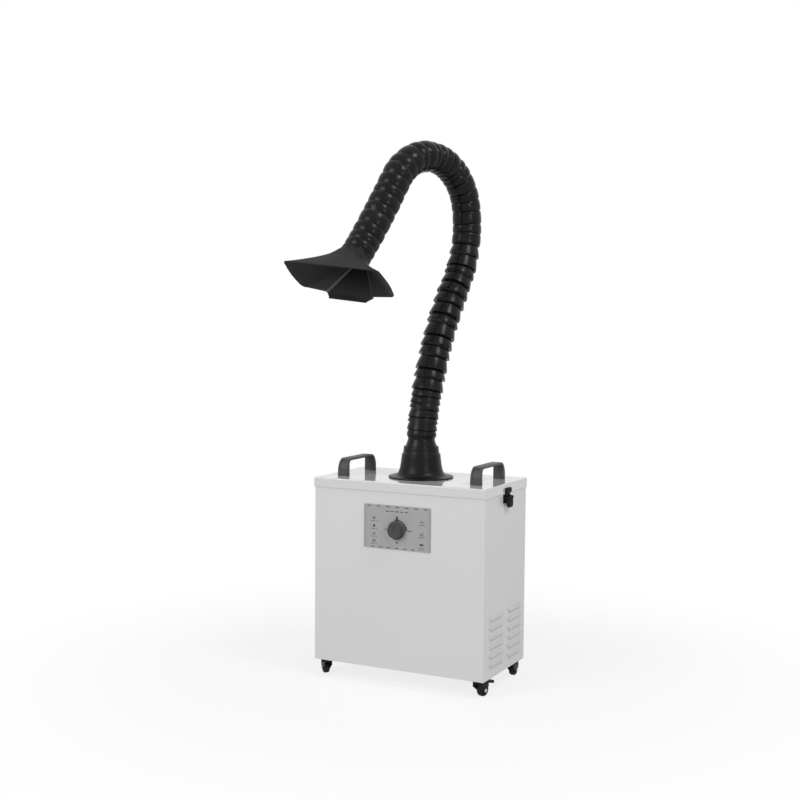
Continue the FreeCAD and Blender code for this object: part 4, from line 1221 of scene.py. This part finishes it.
def pleats_mesh(node):
    """A zigzag sheet the size of its frame node."""
    low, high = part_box(node)
    bm = bmesh.new()
    folds = 2 * PLEATS
    verts = []
    for i in range(folds + 1):
        z = high.z - PLEAT_ROOM if i % 2 else low.z + PLEAT_ROOM
        verts.append(bm.verts.new((low.x + (high.x - low.x) * i / folds, low.y, z)))
    edges = [bm.edges.new(pair) for pair in zip(verts, verts[1:])]
    drawn = bmesh.ops.extrude_edge_only(bm, edges=edges)["geom"]
    bmesh.ops.translate(bm, vec=(0, high.y - low.y, 0), verts=points_of(drawn))
    bmesh.ops.recalc_face_normals(bm, faces=bm.faces)
    bmesh.ops.solidify(bm, geom=bm.faces[:], thickness=PLEAT_THICK)
    return bm


class EXTRACTOR_OT_air_path(bpy.types.Operator):
    """Model the filters and finish the fan and its motor"""
    bl_idname = "extractor.air_path"
    bl_label = "Air path"

    def execute(self, context):
        sizes = context.scene.extractor_sizes
        for node, name, finish_name, slot, crown in (
                ("prefilter", "prefilter_pad", "fibre_pad", "prefilter_fibre", sizes.pad_crown),
                ("carbon_filter", "carbon_pad", "carbon_foam", "carbon_foam", 0.0)):
            pad = piece(name, pad_mesh(node, sizes.pad_edge, crown), finish_name, slot, "cabinet", node)
        piece("pleated_paper", pleats_mesh("filter_media"), "pleat_paper", "filter_media", "cabinet",
              "filter_media")
        softened_piece("deck_seal", "filter_seal", SEAL_EDGE, "seal_foam", "seal_rubber", "cabinet",
                       SEAL_STEPS)
        dress("filter_card", "filter_frame")
        dress("zinc_sheet", "inlet_ring", "motor_bracket")
        dress("motor_paint", "fan_motor")
        dress("screw_steel", "fan_shaft")
        dress("impeller", "fan_impeller")
        dress("inlet_plastic", "control_board")
        return {"FINISHED"}


# Stage: half the floor's side, what the lights are turned to, the lights by their place and the side of
# their square, and the width of the camera's sensor in millimetres
FLOOR = 30.0
LOOK_AT = Vector((0, 0, 0.6))
LIGHTS = {
    "key": ((-1.6, -3.4, 2.4), 2.0),
    "side": ((2.2, -1.45, 1.3), 0.3),
    "top": ((2.0, -0.6, 3.0), 0.8),
}
SENSOR = 36

# Floor: its greys, the least that it shows of the background's white, and the distances between which
# that grows
FLOOR_GREYS = ((0.86, 0.86, 0.86), (0.88, 0.88, 0.88))
FLOOR_WHITE = 0.78
FLOOR_FADE = (0.35, 1.2)
WHITE = (1, 1, 1, 1)


def placed(name, data):
    """An object of the stage."""
    made = bpy.data.objects.new(name, data)
    bpy.context.scene.collection.objects.link(made)
    return made


def soft_light(name, place, side, watts):
    lamp = bpy.data.lights.new(name, "AREA")
    lamp.shape = "SQUARE"
    lamp.size = side
    lamp.energy = watts
    made = placed(name, lamp)
    made.location = place
    made.rotation_euler = (LOOK_AT - made.location).to_track_quat("-Z", "Y").to_euler()


def seen_directly(f):
    """1 for what the camera sees, straight, in a reflection or through glass."""
    straight, glossy, through = (f.node("ShaderNodeLightPath", output="Is %s Ray" % kind)
                                 for kind in ("Camera", "Glossy", "Transmission"))
    return straight + glossy + through


def floor_finish():
    """Pale floor: plain near the object, where it keeps the shadow, and the background's white far out."""
    f = Finish("studio_floor")
    grain = f.noise(3.0, 4.0)
    away = f.node("ShaderNodeVectorMath", {"operation": "LENGTH"}, {0: f.spot()}, output="Value")
    plain = f.node("ShaderNodeBsdfDiffuse", {}, {"Color": f.mix(grain, *map(tone, FLOOR_GREYS))})
    glow = f.node("ShaderNodeEmission", {}, {"Color": WHITE, "Strength": 1.0})
    share = seen_directly(f) * (FLOOR_WHITE + (1 - FLOOR_WHITE) * f.between(away, *FLOOR_FADE))
    shader = f.node("ShaderNodeMixShader", {}, {0: share, 1: plain, 2: glow})
    f.node("ShaderNodeOutputMaterial", {}, {"Surface": shader})
    return f.material


class WorldFinish(Finish):
    """The world's nodes."""

    def __init__(self, world):
        world.use_nodes = True
        self.tree = world.node_tree
        self.tree.nodes.clear()


class EXTRACTOR_OT_stage(bpy.types.Operator):
    """Set up the floor, the studio light and the camera"""
    bl_idname = "extractor.stage"
    bl_label = "Stage"

    def execute(self, context):
        stage = context.scene.extractor_stage
        bm = bmesh.new()
        bmesh.ops.create_grid(bm, x_segments=1, y_segments=1, size=FLOOR)
        mesh = bpy.data.meshes.new("studio_floor")
        bm.to_mesh(mesh)
        bm.free()
        mesh.materials.append(floor_finish())
        placed("studio_floor", mesh)
        world = bpy.data.worlds.new("studio")
        context.scene.world = world
        f = WorldFinish(world)
        strength = stage.sky + (1.0 - stage.sky) * seen_directly(f)
        sky = f.node("ShaderNodeBackground", {}, {"Color": WHITE, "Strength": strength})
        f.node("ShaderNodeOutputWorld", {}, {"Surface": sky})
        for name, (place, side) in LIGHTS.items():
            soft_light(name, place, side, getattr(stage, name))
        camera = bpy.data.cameras.new("camera")
        camera.sensor_width = SENSOR
        camera.lens = stage.lens
        eye = placed("camera", camera)
        level = Vector((-math.sin(stage.yaw), math.cos(stage.yaw), 0))
        forward = level * math.cos(stage.pitch) - UP * math.sin(stage.pitch)
        right = Vector((math.cos(stage.yaw), math.sin(stage.yaw), 0))
        up = right.cross(forward)
        turned = right * math.cos(stage.roll) + up * math.sin(stage.roll)
        up = up * math.cos(stage.roll) - right * math.sin(stage.roll)
        turn = Matrix((turned, up, -forward)).transposed().to_4x4()
        eye.matrix_world = Matrix.Translation(stage.eye) @ turn
        context.scene.camera = eye
        context.scene.view_settings.view_transform = "Standard"
        return {"FINISHED"}


OPERATORS = (
    EXTRACTOR_OT_finishes, EXTRACTOR_OT_cabinet, EXTRACTOR_OT_lid, EXTRACTOR_OT_handles, EXTRACTOR_OT_latches,
    EXTRACTOR_OT_controls, EXTRACTOR_OT_hose, EXTRACTOR_OT_hood, EXTRACTOR_OT_casters, EXTRACTOR_OT_air_path,
    EXTRACTOR_OT_stage,
)
GROUPS = {
    "extractor_sizes": ExtractorSizes,
    "extractor_colours": ExtractorColours,
    "extractor_stage": ExtractorStage,
}


class EXTRACTOR_PT_panel(bpy.types.Panel):
    """Lists what can be made and its sizes"""
    bl_idname = "EXTRACTOR_PT_panel"
    bl_label = "Fume Extractor"
    bl_space_type = "VIEW_3D"
    bl_region_type = "UI"
    bl_category = "Extractor"

    def draw(self, context):
        for operator in OPERATORS:
            self.layout.operator(operator.bl_idname)
        for name, group in GROUPS.items():
            for key in group.__annotations__:
                self.layout.prop(getattr(context.scene, name), key)


CLASSES = tuple(GROUPS.values()) + OPERATORS + (EXTRACTOR_PT_panel,)


def register():
    for made in CLASSES:
        bpy.utils.register_class(made)
    for name, group in GROUPS.items():
        setattr(bpy.types.Scene, name, PointerProperty(type=group))


def unregister():
    for name in GROUPS:
        delattr(bpy.types.Scene, name)
    for made in reversed(CLASSES):
        bpy.utils.unregister_class(made)


def main():
    register()
    for operator in OPERATORS:
        area, call = operator.bl_idname.split(".")
        getattr(getattr(bpy.ops, area), call)()


if __name__ == "__main__":
    main()
